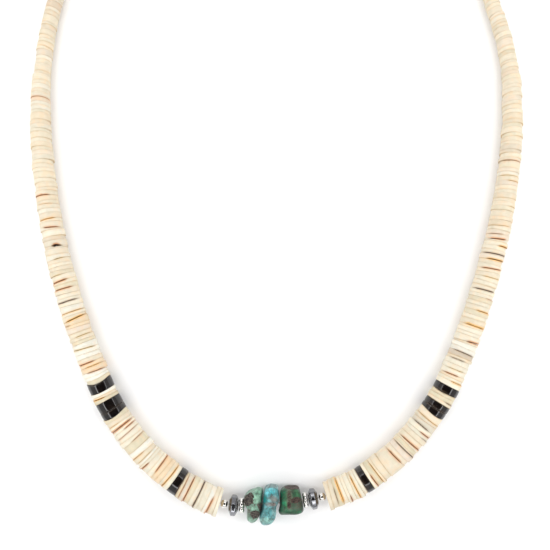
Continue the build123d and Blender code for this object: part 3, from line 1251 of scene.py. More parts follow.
    def tone_of(self, seat: Seat, luck: random.Random) -> Array:
        """The colour of a disc.

        Args:
            seat: The disc.
            luck: The seeded source of the tones that no patch names.

        Returns:
            The colour, linear.
        """
        tone = luck.choices(*zip(*self.tone_shares))[0]
        lift = luck.uniform(*self.lifts)
        place = seat.distance / MM
        for patch, stretches in self.patches.items():
            if any(start <= place <= end for start, end in stretches):
                tone = patch
        black = seat.node.startswith("black")
        colour = np.array(linear((Tone.BLACK if black else tone).value))
        if not black:
            even = float(np.interp(place, *zip(*self.evenness)))
            colour += (np.array(linear(Tone.CREAM.value)) - colour) * even
        colour[:3] = np.minimum(colour[:3] * lift, 1.0)
        return colour

    def build(self, bench: Bench) -> None:
        """Makes every disc of this side.

        Args:
            bench: What they are made from.
        """
        luck = random.Random(self.seed)
        seats = self.collect(bench)
        meetings = self.meetings(seats, luck)
        inner = 1 if self.side == "left" else -1
        groups: dict[str, list[tuple[Array, Array, Array]]] = {}
        for seat, low, high in zip(seats, meetings, meetings[1:]):
            shape = SHAPES[seat.node.split("_")[0]]
            disc = Disc(seat, low, high, self.tone_of(seat, luck), shape, inner)
            groups.setdefault(seat.node, []).append(disc.cut(luck))
        for node, discs in groups.items():
            segments = SHAPES[node.split("_")[0]].segments
            faces, count = [], 0
            for points, _, _ in discs:
                woven = weave(len(points) // segments, segments)
                faces += [[corner + count for corner in face] for face in woven]
                count += len(points)
            points, tones, grains = (np.concatenate(rows) for rows in zip(*discs))
            slot = "black_shell" if node.startswith("black") else "shell"
            piece = make_piece(f"ground_{node}", points, faces, bench.materials[slot], DISC_SHARP)
            # The tone holds each disc's colour with the joints' dust and painted shade
            store(piece.data, "tone", "FLOAT_COLOR", tones)
            store(piece.data, "grain", "FLOAT_VECTOR", grains)
            settle(piece, node)


# The turquoise
@dataclass(frozen=True)
class Lump:
    """A swelling or, with a negative rise, a dent: its place, reach and rise in mm."""

    place: Place
    reach: float
    rise: float


POINTS_PER_MM = 3.713


@dataclass(frozen=True)
class Zone:
    """A cloud in the stone, at the height of the nugget's middle.

    Its middle, from the picture's left and top, and its reaches are in picture points, and it
    is turned clockwise by some degrees. It holds a colour, which in a few zones is painted
    shade at the nugget's edge, or a share of host rock, and clears the rock below 0.
    """

    x: float
    y: float
    wide: float
    long: float
    holds: Union[str, float]
    turn: float = 0.0

    def weigh(self, flat: Array, middle: Pair) -> Array:
        """How strongly the zone shows at places in the plane of the zones.

        Args:
            flat: The places from the nugget's middle, in mm.
            middle: The nugget's middle, in picture points.

        Returns:
            For each place 0 where it doesn't show to 1 where it covers.
        """
        apart = flat - np.array((self.x - middle[0], middle[1] - self.y)) / POINTS_PER_MM
        angle = math.radians(-self.turn)
        x = apart[:, 0] * math.cos(angle) + apart[:, 1] * math.sin(angle)
        y = apart[:, 1] * math.cos(angle) - apart[:, 0] * math.sin(angle)
        wide, long = self.wide / POINTS_PER_MM, self.long / POINTS_PER_MM
        return np.exp(-(((x / wide) ** 2 + (y / long) ** 2) ** 2))


@dataclass
class Nugget:
    """A tumbled turquoise nugget. Its lumps are placed from its solid's middle, in mm.

    Attributes:
        side: left, middle or right.
        finish: Its material.
        base: The colour that no zone covers.
        middle: Its middle in the picture, in picture points.
        lumps: What rises and falls in its surface.
        zones: Its colours, a few of them painted shade at its edges, and host rock, the later over the
            earlier.
        grain_mm: The size of the faces of its surface.
        roll_mm: How far its surface rolls.
        pit_mm: How deep it is pitted.
        rock_rise: How far the rock stands out, in mm.
        slope: How far the colours run towards the back for each mm up through the stone.
        bore_room: From this radius on it differs from the solid, fully so from the second, in mm.
    """

    side: str
    finish: TumbledTurquoise
    base: str
    middle: Pair
    lumps: Sequence[Lump]
    zones: Sequence[Zone]
    grain_mm: float = 0.15
    roll_mm: float = 0.14
    pit_mm: float = 0.03
    rock_rise: float = 0.10
    slope: float = 0.38
    bore_room: Pair = (0.6, 1.4)

    # How fine the roll and the pits are for each mm, where the roll starts, and the pits' layers
    roll_rate, pit_rate, roll_start, pit_layers = 0.55, 2.6, (3, 1, 7), 3
    # How often and how far the copied solid's edges are evened out
    soft_steps, soft_share = 6, 0.5

    def soften(self, node: Object) -> Object:
        """Copies the CAD solid with even faces and soft edges.

        Args:
            node: The solid's node.

        Returns:
            The piece.
        """
        piece = bpy.data.objects.new(f"tumbled_turquoise_{self.side}", node.data.copy())
        bpy.context.scene.collection.objects.link(piece)
        remesh = piece.modifiers.new("even", "REMESH")
        remesh.mode = "VOXEL"
        remesh.voxel_size = self.grain_mm * MM
        remesh.adaptivity = 0.0
        soften = piece.modifiers.new("soften", "SMOOTH")
        soften.iterations = self.soft_steps
        soften.factor = self.soft_share
        graph = bpy.context.evaluated_depsgraph_get()
        mesh = bpy.data.meshes.new_from_object(piece.evaluated_get(graph))
        piece.modifiers.clear()
        piece.data = mesh
        mesh.name = piece.name
        return piece

    def build(self, bench: Bench) -> None:
        """Makes the nugget over its CAD solid.

        Args:
            bench: What it is made from.
        """
        node = bench.nodes[f"turquoise_{self.side}"]
        piece = self.soften(node)
        mesh = piece.data
        low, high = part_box(node.name)
        centre = np.array((low + high) / 2)
        points = points_of(mesh)
        normals = np.array([vertex.normal for vertex in mesh.vertices])
        local = (points - centre) / MM
        flat = np.stack([local[:, 0], local[:, 1] - self.slope * local[:, 2]], 1)
        colours, rock = self.paint(flat)
        rise = self.relief(local) + self.rock_rise * rock
        seat, lead = bench.line.at(bench.line.distance_of(centre))
        off = (points - seat) - np.outer((points - seat) @ lead, lead)
        near, far = self.bore_room
        clear = np.clip((np.linalg.norm(off, axis=1) / MM - near) / (far - near), 0, 1)
        moved = points + normals * (rise * clear * MM)[:, None]
        moved[:, 2] = np.maximum(moved[:, 2], 0.0)
        mesh.vertices.foreach_set("co", moved.astype(np.float32).ravel())
        store(mesh, "stone", "FLOAT_COLOR", colours)
        store(mesh, "rock", "FLOAT", rock)
        mesh.materials.clear()
        mesh.materials.append(self.finish.build())
        mesh.polygons.foreach_set("use_smooth", np.ones(len(mesh.polygons), bool))
        mesh.update()
        settle(piece, node.name)

    def relief(self, local: Array) -> Array:
        """How far the surface rises over the solid at places, in mm.

        Args:
            local: The places from the nugget's middle, in mm.

        Returns:
            The rise at each place.
        """
        rise = np.zeros(len(local))
        for lump in self.lumps:
            apart = np.linalg.norm(local - np.array(lump.place), axis=1)
            rise += lump.rise * np.exp(-((apart / lump.reach) ** 2))
        for number, spot in enumerate(local):
            here = Vector(spot)
            roll = noise.noise(here * self.roll_rate + Vector(self.roll_start))
            rise[number] += self.roll_mm * roll
            pits = noise.fractal(here * self.pit_rate, 1.0, 2.0, self.pit_layers)
            rise[number] += self.pit_mm * pits
        return rise - self.roll_mm / 3

    def paint(self, flat: Array) -> tuple[Array, Array]:
        """The stone's colours, some of them painted shade, and its share of rock.

        Args:
            flat: The places in the plane of the zones, from the nugget's middle, in mm.

        Returns:
            A linear colour for each place, and 0 for stone to 1 for rock.
        """
        colours = np.tile(np.array(linear(self.base)), (len(flat), 1))
        rock = np.zeros(len(flat))
        for zone in self.zones:
            weight = zone.weigh(flat, self.middle)
            if isinstance(zone.holds, str):
                tint = np.array(linear(zone.holds))
                colours = colours * (1 - weight[:, None]) + tint * weight[:, None]
            elif zone.holds > 0:
                rock = np.maximum(rock, zone.holds * weight)
            else:
                rock = np.clip(rock + zone.holds * weight, 0, 1)
        return colours, rock


# The silver and hematite beads, the clasp and the thread
def lathe(name: str, seat: Seat, profile: Sequence[Pair], segments: int, silver: Material) -> Object:
    """Turns a closed profile round a bead's axis.

    Args:
        name: The piece's name.
        seat: Where the bead sits.
        profile: Radii and heights along the axis, in mm, as a closed loop.
        segments: How many steps the turn has.
        silver: Its material.

    Returns:
        The piece.
    """
    level, up = seat.across()
    angles = circle(segments)
    turn = np.outer(np.cos(angles), level) + np.outer(np.sin(angles), up)
    rings = [seat.centre + turn * radius * MM + seat.axis * height * MM for radius, height in profile]
    faces = weave(len(profile), segments)
    return make_piece(name, np.concatenate(rings), faces, silver, TURNED_SHARP)


@dataclass
class SilverBead:
    """A seamless round silver bead with a worn lip round its hole. Lengths are in mm.

    Attributes:
        side: left or right.
        hole: The radius of the hole.
        lip: The width of the flat lip round it.
        lip_wear: How far the lip is worn off the hole, and in from the end in two steps.
        segments: The steps round the bead.
        rings: The steps from lip to lip.
    """

    side: str
    hole: float = 0.5
    lip: float = 0.12
    lip_wear: tuple[float, float, float] = (0.03, 0.01, 0.06)
    segments: int = 56
    rings: int = 26

    def build(self, bench: Bench) -> None:
        """Makes the bead.

        Args:
            bench: What it is made from.
        """
        seat = bench.seat(f"silver_bead_{self.side}")
        radius = seat.radius / MM
        start = math.asin((self.hole + self.lip) / radius)
        profile = []
        for step in range(self.rings + 1):
            angle = start + (math.pi - 2 * start) * step / self.rings
            profile.append((radius * math.sin(angle), -radius * math.cos(angle)))
        rim = radius * math.cos(start)
        out, shallow, deep = self.lip_wear
        profile += [(self.hole + out, rim - shallow), (self.hole, rim - deep)]
        profile += [(self.hole, deep - rim), (self.hole + out, shallow - rim)]
        silver = bench.materials["silver"]
        piece = lathe(f"round_{seat.node}", seat, profile, self.segments, silver)
        settle(piece, seat.node)


@dataclass
class GranuleRing:
    """Six silver granules soldered to a wire ring, with solder drawn in between them.

    Attributes:
        side: left or right.
        granule: The granules' radius in mm.
        wire: The wire's radius in mm.
        solder: How far the solder thickens the wire beside a granule, in mm.
        flattened: Where the next bead has rubbed a granule, as a share of its radius.
        outside: The share of its radius from which on a granule's angle is read.
        granules: How many there are.
        granule_rings: The steps of a granule from its flattened top to its bottom.
        granule_segments: The steps round a granule.
        ring_steps: The steps round the wire ring.
        wire_segments: The steps round the wire.
    """

    side: str
    granule: float = 0.7
    wire: float = 0.375
    solder: float = 0.16
    flattened: float = 0.965
    outside: float = 0.97
    granules: int = 6
    granule_rings: int = 22
    granule_segments: int = 40
    ring_steps: int = 120
    wire_segments: int = 20

    def build(self, bench: Bench) -> None:
        """Makes the ring with its granules, one joined mesh.

        Args:
            bench: What it is made from.
        """
        seat = bench.seat(f"granule_ring_{self.side}")
        level, up = seat.across()
        reach = seat.radius / MM - self.granule
        turns = self.granule_turns(points_of(bench.nodes[seat.node].data) - seat.centre, seat, reach)
        balls = []
        for turn in turns:
            out = math.cos(turn) * level + math.sin(turn) * up
            balls.append(self.ball(seat.centre + out * reach * MM, out, seat.axis))
        waves = np.sin(self.granules / 2 * (circle(self.ring_steps) - turns[0]))
        thick = self.wire + self.solder * waves**4
        bend = circle(self.wire_segments)
        rows = []
        for angle, size in zip(circle(self.ring_steps), thick):
            out = math.cos(angle) * level + math.sin(angle) * up
            ring = np.outer(reach + size * np.cos(bend), out) + np.outer(size * np.sin(bend), seat.axis)
            rows.append(seat.centre + ring * MM)
        skins = [weave(self.granule_rings - 1, self.granule_segments, True)] * len(balls)
        skins.append(weave(self.ring_steps, self.wire_segments))
        faces, count = [], 0
        for part, skin in zip(balls + [np.concatenate(rows)], skins):
            faces += [[corner + count for corner in face] for face in skin]
            count += len(part)
        points = np.concatenate(balls + rows)
        silver = bench.materials["silver"]
        piece = make_piece(f"soldered_{seat.node}", points, faces, silver, ROUND_SHARP)
        settle(piece, seat.node)

    def granule_turns(self, points: Array, seat: Seat, reach: float) -> list[float]:
        """The angles at which the granules sit, read from where the solid reaches farthest.

        Args:
            points: The solid's points, from the middle of the ring.
            seat: The ring's seat.
            reach: How far the granules' middles are from the axis, in mm.

        Returns:
            An angle in radians for each granule.
        """
        level, up = seat.across()
        x, y = points @ level, points @ up
        far = np.hypot(x, y) > (reach + self.granule * self.outside) * MM
        angles = np.arctan2(y[far], x[far])
        first = float(np.angle(np.exp(self.granules * 1j * angles).mean()) / self.granules)
        return [first + step * 2 * math.pi / self.granules for step in range(self.granules)]

    def ball(self, centre: Array, out: Array, axis: Array) -> Array:
        """One granule, a little flattened where the next bead has rubbed it.

        Args:
            centre: Its middle.
            out: The direction away from the ring's axis.
            axis: The ring's axis.

        Returns:
            Its rings of points, in metres.
        """
        side = np.cross(out, axis)
        turn = circle(self.granule_segments)
        rows = []
        for ring in range(1, self.granule_rings):
            tilt = math.pi * ring / self.granule_rings
            flat = min(abs(math.cos(tilt)), self.flattened) * math.copysign(1, math.cos(tilt))
            spot = np.outer(math.sin(tilt) * np.cos(turn), out)
            spot = spot + np.outer(math.sin(tilt) * np.sin(turn), side) + flat * axis
            rows.append(centre + spot * self.granule * MM)
        return np.concatenate(rows)


@dataclass
class Rondelle:
    """A faceted hematite rondelle, its facet edges worn to fine bevels, its ends painted near-black as
    shade and dark reflection.

    Attributes:
        side: left or right.
        edge_wear: The bevels' width in mm.
        wear_steps: The steps of each bevel.
        shaded_from: How square to the thread a face must be to get the near-black painted shade, up to
            1.
        least_edge: Edges that turn by less than this, in radians, aren't worn.
        flat_degrees: Faces that turn by less than this are one facet.
        sharp_degrees: Edges that turn by more than this stay sharp.
    """

    side: str
    edge_wear: float = 0.16
    wear_steps: int = 3
    shaded_from: float = 0.88
    least_edge: float = 0.35
    flat_degrees: float = 1.5
    sharp_degrees: float = 14.0

    def build(self, bench: Bench) -> None:
        """Makes the rondelle from the facets of its CAD solid.

        Args:
            bench: What it is made from.
        """
        seat = bench.seat(f"hematite_rondelle_{self.side}")
        work = bmesh.new()
        work.from_mesh(bench.nodes[seat.node].data)
        bmesh.ops.remove_doubles(work, verts=work.verts, dist=WELD)
        flat = math.radians(self.flat_degrees)
        bmesh.ops.dissolve_limit(work, angle_limit=flat, verts=work.verts, edges=work.edges)
        edges = [e for e in work.edges if e.is_manifold and e.calc_face_angle() > self.least_edge]
        bevel = {"offset": self.edge_wear * MM, "segments": self.wear_steps, "profile": 0.5}
        bmesh.ops.bevel(work, geom=edges, affect="EDGES", **bevel)
        mesh = bpy.data.meshes.new(f"faceted_{seat.node}")
        work.to_mesh(mesh)
        work.free()
        looks = (bench.materials["hematite"], bench.materials["sawn"])
        piece = show(mesh, self.sharp_degrees, *looks)
        # The faces square to the thread get the near-black second material: painted shade and dark
        # reflection beside the neighbouring beads
        for polygon in mesh.polygons:
            square = abs(np.array(polygon.normal) @ seat.axis)
            polygon.material_index = int(square > self.shaded_from)
        settle(piece, seat.node)


@dataclass
class BarrelClasp:
    """The plain silver barrel clasp: rounded shoulders, a seam and lips at the thread holes.

    Attributes:
        segments: The steps round the barrel.
        rounding: How far the shoulders are rounded, in mm.
        rounding_steps: The steps of each rounding.
        lip: The width of the lips at the holes, in mm.
        seam: Half the width of the seam's bottom, in mm.
        seam_depth: How far the seam goes in below the waist, in mm.
        hole_wear: How far the hole's lip is worn, off the axis and along it, in mm.
        end_wear: The same for the end's rim.
        band_wear: The same for the edge of the band beside the waist.
        waist_wear: How far the seam's edge is worn, in mm.
        band_step: How far the band's foot is in from the barrel, in mm.
        near: How near a point is to a face that it is taken to be on, in mm.
        shoulder_room: How far the band is at least from the shoulder, in mm.
        barrel_height: Where the rounding of the shoulder aims for, in mm.
    """

    segments: int = 72
    rounding: float = 0.28
    rounding_steps: int = 6
    lip: float = 0.16
    seam: float = 0.06
    seam_depth: float = 0.12
    hole_wear: Pair = (0.05, 0.02)
    end_wear: Pair = (0.05, 0.03)
    band_wear: Pair = (0.02, 0.05)
    waist_wear: float = 0.03
    band_step: float = 0.06
    near: float = 0.01
    shoulder_room: float = 0.5
    barrel_height: float = 3.0

    def build(self, bench: Bench) -> None:
        """Makes the clasp.

        Args:
            bench: What it is made from.
        """
        seat = bench.seat("barrel_clasp")
        seat.axis = np.array((1.0, 0.0, 0.0))
        half, barrel = seat.thickness / MM / 2, seat.radius / MM
        points = points_of(bench.nodes[seat.node].data) - seat.centre
        out = np.hypot(points[:, 1], points[:, 2]) / MM
        along = np.abs(points[:, 0]) / MM
        hole, waist = float(out.min()), float(out[along < self.near].max())
        end = float(out[along > half - self.near].max())
        outside = out > barrel - self.near
        shoulder = float(along[outside].max())
        band = float(along[outside & (along < shoulder - self.shoulder_room)].max())
        lip, seam, worn = self.lip, self.seam, self.waist_wear
        off, along_hole = self.hole_wear
        one_half = [(hole, seam), (hole, half - lip), (hole + off, half - along_hole)]
        off, along_end = self.end_wear
        one_half += [(hole + lip * 0.5, half), (end - lip, half), (end - off, half - along_end)]
        one_half += [(end, half - lip)]
        one_half += self.shoulder(np.array((end, half - lip)), np.array((barrel, shoulder)))
        off, along_band = self.band_wear
        one_half += [(barrel, band + lip), (barrel - off, band + along_band)]
        one_half += [(barrel - self.band_step, band), (waist + worn, seam + worn)]
        one_half += [(waist, seam), (waist - self.seam_depth, 0.0)]
        mirrored = [(radius, -height) for radius, height in one_half[-2::-1]]
        profile, silver = one_half + mirrored, bench.materials["silver"]
        settle(lathe(f"turned_{seat.node}", seat, profile, self.segments, silver), seat.node)

    def shoulder(self, start: Array, corner: Array) -> list[Pair]:
        """Points that round off the shoulder between the tapered end and the barrel.

        Args:
            start: Radius and height of a point on the taper.
            corner: The sharp corner.

        Returns:
            Radii and heights from the taper to the barrel.
        """
        barrel = np.array((corner[0], self.barrel_height))
        before, after = start - corner, barrel - corner
        before = corner + before / np.linalg.norm(before) * self.rounding
        after = corner + after / np.linalg.norm(after) * self.rounding
        found = []
        for step in range(self.rounding_steps + 1):
            share = step / self.rounding_steps
            spot = before * (1 - share) ** 2 + corner * 2 * share * (1 - share)
            spot = spot + after * share**2
            found.append((float(spot[0]), float(spot[1])))
        return found


@dataclass
class PliedThread:
    """The thread: plies twisted together, finely made where it shows between beads.

    Attributes:
        plies: How many there are.
        pitch: The length of a full twist, in mm.
        radius: The thread's radius in mm.
        groove: How deep the grooves between the plies are, in mm.
        segments: The steps round the thread.
        fine_step: The step along it where it shows, in mm.
        coarse_step: The step along it inside the beads, in mm.
        bare_reach: How far from the front it shows, in mm.
        end_reach: How far from its ends it shows, in mm.
    """

    plies: int = 3
    pitch: float = 1.5
    radius: float = 0.24
    groove: float = 0.055
    segments: int = 15
    fine_step: float = 0.12
    coarse_step: float = 0.6
    bare_reach: float = 20.0
    end_reach: float = 8.0

    def build(self, bench: Bench) -> None:
        """Makes the thread along its CAD solid.

        Args:
            bench: What it is made from.
        """
        line = bench.line
        stops, length = [0.0], line.length / MM
        while stops[-1] < length:
            near = abs(stops[-1] - line.front / MM) < self.bare_reach
            near = near or min(stops[-1], length - stops[-1]) < self.end_reach
            stops.append(stops[-1] + (self.fine_step if near else self.coarse_step))
        stops[-1] = length
        bend = circle(self.segments)
        rows = []
        for stop in stops:
            spot, lead = line.at(stop * MM)
            level, up = Seat(spot, lead, 0.0, 0.0).across()
            twist = 2 * math.pi * stop / self.pitch
            out = self.radius - self.groove * np.abs(np.sin(self.plies * (bend - twist) / 2)) ** 3
            ring = np.outer(out * np.cos(bend), level) + np.outer(out * np.sin(bend), up)
            rows.append(spot + ring * MM)
        faces = weave(len(stops), self.segments, True)
        points, cotton = np.concatenate(rows), bench.materials["thread"]
        settle(make_piece("plied_thread", points, faces, cotton, ROUND_SHARP), "thread")


# The studio
@dataclass
class Lamp:
    """A soft lamp: where it stands, how large it is in metres and its power in watts."""

    name: str
    place: Place
    size: Pair
    power: float


@dataclass
class Studio:
    """The white card, the lamps, the pale surroundings and the camera. Lengths are in metres."""

    camera_place: Place = (-0.0001, -0.0324, 0.1735)
    frame_width: float = 0.1485
    strand_height: float = 0.0035
    sensor_width_mm: float = 36.0
    seen: Pair = (0.01, 10.0)
    lamps: tuple[Lamp, ...] = (
        Lamp("left_lamp", (-0.27, -0.03, 0.23), (0.08, 0.60), 0.55),
        Lamp("right_lamp", (0.27, -0.03, 0.23), (0.08, 0.60), 0.55),
        Lamp("front_lamp", (0.0, -0.90, 0.90), (0.70, 0.12), 1.6),
        Lamp("back_lamp", (0.0, 0.90, 0.90), (0.70, 0.12), 2.2),
    )
    aim: Place = (0, -0.03, 0)
    sky: str = "#FBFBFC"
    camera_black: str = "#0A0A0B"
    sky_strength: float = 0.74
    card_half: float = 2.0
    card_drop: float = 0.00001
    ring_height: float = 0.150
    ring_radii: Pair = (0.140, 0.170)
    ring_strength: float = 5.5
    ring_steps: int = 64

    def place_camera(self) -> None:
        """Stands the camera straight above, as in the photograph."""
        data = bpy.data.cameras.new("camera")
        data.sensor_width = self.sensor_width_mm
        reach = self.camera_place[2] - self.strand_height
        data.lens = data.sensor_width * reach / self.frame_width
        data.clip_start, data.clip_end = self.seen
        camera = bpy.data.objects.new("camera", data)
        camera.location = self.camera_place
        bpy.context.scene.collection.objects.link(camera)
        bpy.context.scene.camera = camera

    def build(self) -> None:
        """Lays the card, hangs the lamps and sets the surroundings."""
        half = self.card_half
        corners = np.array([(-half, -half, 0), (half, -half, 0), (half, half, 0), (-half, half, 0)])
        card = make_piece("card", corners, [[0, 1, 2, 3]], WhiteCard().build())
        card.location.z = -self.card_drop
        for lamp in self.lamps:
            self.hang(lamp)
        world = bpy.data.worlds.new("surroundings")
        world.use_nodes = True
        sky = {"Color": linear(self.sky), "Strength": self.sky_strength}
        fill(world.node_tree, "OutputWorld", lambda add: add("Background", sky))
        bpy.context.scene.world = world
        self.hang_ring_light()
        bpy.context.scene.view_settings.view_transform = "Standard"

    def hang(self, lamp: Lamp) -> None:
        """Hangs a soft lamp, aimed at the necklace's front.

        Args:
            lamp: The lamp.
        """
        data = bpy.data.lights.new(lamp.name, "AREA")
        data.shape = "RECTANGLE"
        data.size, data.size_y = lamp.size
        data.energy = lamp.power
        light = bpy.data.objects.new(lamp.name, data)
        light.location = lamp.place
        aim = Vector(self.aim) - light.location
        light.rotation_euler = aim.to_track_quat("-Z", "Y").to_euler()
        light.visible_glossy = False
        bpy.context.scene.collection.objects.link(light)

    def hang_ring_light(self) -> None:
        """Hangs the ring light round the dark camera front. Both only show mirrored."""
        steps, angles = self.ring_steps, circle(self.ring_steps)
        turn = np.stack([np.cos(angles), np.sin(angles), np.zeros(steps)], 1)
        middle = np.array((*self.camera_place[:2], self.ring_height))
        inner, outer = (middle + turn * radius for radius in self.ring_radii)
        paint = {"Base Color": linear(self.camera_black), "Roughness": 0.8}
        dark = Plain("dark_camera_front", "BsdfPrincipled", paint).build()
        front = make_piece("camera_front", inner, [list(range(steps))], dark)
        light = {"Color": linear("#FFFFFF"), "Strength": self.ring_strength}
        glow = Plain("ring_light", "Emission", light).build()
        faces = weave(2, steps)[:steps]
        ring = make_piece("ring_light", np.concatenate([inner, outer]), faces, glow)
        for piece in (front, ring):
            piece.visible_camera = piece.visible_shadow = piece.visible_diffuse = False


# How the shell varies along each strand, by distance from the front in mm
LEFT_PATCHES = {
    Tone.RUSSET: ((165.2, 166.4), (138.5, 139.9)),
    Tone.TAUPE: ((158.8, 159.8), (101.1, 102.9)),
    Tone.WHITE: ((103.0, 104.8), (91.3, 92.3), (68.5, 71.4), (62.4, 64.6), (39.6, 41.2)),
    Tone.PEBBLE: ((97.3, 100.9),),
    Tone.BEIGE: ((88.0, 90.0), (73.0, 74.4), (41.3, 42.9)),
    Tone.PEACH: ((77.6, 78.6), (65.0, 67.4), (31.0, 33.6)),
    Tone.IVORY: ((43.6, 47.8), (34.0, 36.2)),
    Tone.APRICOT: ((15.9, 17.0),),
}
RIGHT_PATCHES = {
    Tone.TAUPE: ((125.2, 126.6), (67.8, 69.3)),
    Tone.PEACH: ((105.6, 108.0),),
    Tone.BLUSH: ((102.1, 102.8), (38.2, 39.4)),
    Tone.IVORY: ((88.0, 91.0), (73.4, 77.2), (64.8, 67.6), (18.6, 22.6)),
    Tone.BEIGE: ((83.6, 85.2), (55.9, 57.7)),
    Tone.WHITE: ((69.8, 72.4),),
    Tone.PEBBLE: ((46.9, 49.4),),
    Tone.CREAM: ((41.6, 43.9), (30.0, 35.9), (13.0, 17.4)),
}
# Each gap: distance, width, stain, start and end across the strand, lean, strength, glow, deep
AMBER, OCHRE, RUST, SOOT, CHALK = Gap
LEFT_OPENINGS = (
    (139.9, 0.20, RUST, -1.5, 1.5, 0, 0.7), (114.0, 0.28, RUST, -0.9, 0.5, 0, 0.9),
    (111.5, 0.14, AMBER, -0.6, 0.7, 0, 0.4), (107.2, 0.28, AMBER, -0.9, 0.6, 4.5),
    (104.9, 0.34, RUST, -0.4, 0.8, -5), (99.9, 0.80, RUST, 0.02, 0.62, -4, 1, 0.35, 0.9),
    (96.3, 0.22, OCHRE, -0.1, 0.7, 5, 0.8), (92.5, 0.16, OCHRE, -0.6, 0.2, 3, 0.7),
    (90.4, 0.42, RUST, -0.95, 0.45, 6, 1, 0.3), (87.8, 0.34, RUST, -0.8, 0.7, 1.5),
    (84.8, 0.32, SOOT, -0.85, 0.8, 1), (81.9, 0.26, AMBER, -0.9, 0.9, 2.5, 0.8),
    (79.7, 0.45, AMBER, -0.5, 0.9, 8, 1, 0.35), (78.2, 0.16, RUST, -1.2, -0.3, 0, 0.5),
    (74.9, 0.16, OCHRE, -0.2, 0.9, 3, 0.8), (71.8, 0.24, OCHRE, -0.9, 0.8, -5, 0.9),
    (67.5, 0.34, RUST, -0.9, 0.5, 0, 1, 0.25), (66.4, 0.22, AMBER, -0.3, 0.8, 0, 0.8),
    (64.8, 0.28, RUST, -0.3, 0.9, -2.5, 0.8), (62.0, 0.16, CHALK, -0.7, 0.4),
    (57.4, 0.36, AMBER, -0.9, 0.2, -3.5), (53.7, 0.10, SOOT), (49.5, 0.16, AMBER, -0.9, 0.2, 0, 0.6),
    (48.3, 0.50, RUST, -1, 0.9, 3.5, 1, 0.42, 0.22), (47.3, 0.26, RUST, 0.25, 1, 5),
    (45.8, 0.13, RUST, -0.7, 0.9, 5, 0.6), (43.4, 0.16, RUST, 0.2, 1, 3, 0.6),
    (39.3, 0.22, AMBER, -1, 0.3, -2.5, 0.7), (38.0, 0.16, OCHRE, -0.7, 0.7, 0, 0.8),
    (36.4, 0.34, RUST, -1, 0, -3.5), (33.5, 0.28, RUST, -0.2, 1.2, 2), (29.6, 0.32, AMBER, -1, 1, -2.5),
    (26.1, 0.10, SOOT, -1.5, 1.5, 5), (25.1, 0.18, RUST, -0.7, 0.9, 5, 0.7),
    (23.6, 0.30, RUST, -1, 1, 3.5), (20.2, 0.40, SOOT, -0.95, 1.2, 0.5),
    (17.0, 0.30, RUST, -1.1, 0.5, -4.5, 1, 0.4),
)
RIGHT_OPENINGS = (
    (122.8, 0.16, RUST, -1, 0.9, 0, 0.6), (118.6, 0.16, OCHRE, -1, 0.9, 0, 0.8),
    (117.2, 0.18, AMBER, -1, 0.3, 0, 0.6), (110.4, 0.12, OCHRE, -1, -0.2, 0, 0.7),
    (104.7, 0.14, AMBER, -0.6, 1, -4, 0.4), (102.7, 0.20, RUST, -0.1, 0.9, -5, 0.5),
    (101.4, 0.42, RUST, -0.5, 0.85, -6.5, 1, 0.3), (99.7, 0.40, AMBER, -0.95, 0, -2, 1, 0.3),
    (97.4, 0.34, SOOT, -0.95, 0.95, -2), (95.8, 0.44, AMBER, -0.85, 0.6, -3, 1, 0.3),
    (93.3, 0.28, RUST, -0.8, 0.8, -4.5), (91.3, 0.14, OCHRE, -0.9, 0.6, 0, 0.8),
    (87.0, 0.36, SOOT, -0.75, 0.85, -1), (85.3, 0.16, RUST, -0.9, -0.2, 0, 0.6),
    (82.1, 0.30, AMBER, -0.95, 0.3), (77.5, 0.56, AMBER, -1.1, 0.75, 0, 1, 0.5, 0.12),
    (72.8, 0.44, RUST, -1, 0.2, -4, 1, 0.38), (69.6, 0.26, SOOT, -0.7, 0.8, 2, 0.9),
    (67.8, 0.22, SOOT, -0.2, 0.8, 0, 0.9), (66.7, 0.14, OCHRE, -0.4, 0.7, 0, 0.7),
    (64.7, 0.14, OCHRE, -0.4, 0.7, 0, 0.7), (63.2, 0.30, RUST, -0.2, 0.85, -1.5),
    (61.5, 0.50, AMBER, -0.9, 0.2, 0, 0.75, 0.45, 0.12), (57.6, 0.26, SOOT, 0.1, 0.9),
    (55.8, 0.20, SOOT, -0.95, -0.2), (52.6, 0.10, SOOT), (49.5, 0.15, AMBER, -0.9, 0.9, 2, 0.6),
    (47.1, 0.26, SOOT, -0.3, 0.9, 3), (45.7, 0.32, RUST, -0.95, 0.1),
    (44.7, 0.13, SOOT, -1, -0.2, 0, 0.6), (44.1, 0.26, SOOT, -0.4, 0.75, 1),
    (41.5, 0.36, RUST, -0.95, 0.85, -1.5, 1, 0.3), (39.4, 0.26, SOOT, -1, 0.9, -2),
    (36.1, 0.30, RUST, -0.4, 0.85, -4.5, 1, 0.3), (29.5, 0.26, AMBER, -0.8, 0.9, 0, 0.75),
    (27.9, 0.32, RUST, -1, 0.3), (24.8, 0.18, SOOT), (22.8, 0.42, AMBER, -1, 0.9, 0, 1, 0.38, 0.2),
    (20.8, 0.30, RUST, -1, -0.3), (18.4, 0.60, AMBER, -0.6, 1, 0, 1, 0.5, 0.08),
    (17.2, 0.18, SOOT, -0.5, 0.6, 2, 0.7),
)
LEFT_BOWS = ((51.7, 0.75), (53.7, 0.25), (59.1, 0.35), (62.0, 0.9), (62.9, 0.5), (63.7, 0.25))
RIGHT_BOWS = ((49.5, 0.25), (51.0, 0.6), (52.6, 0.15), (57.7, 0.15))

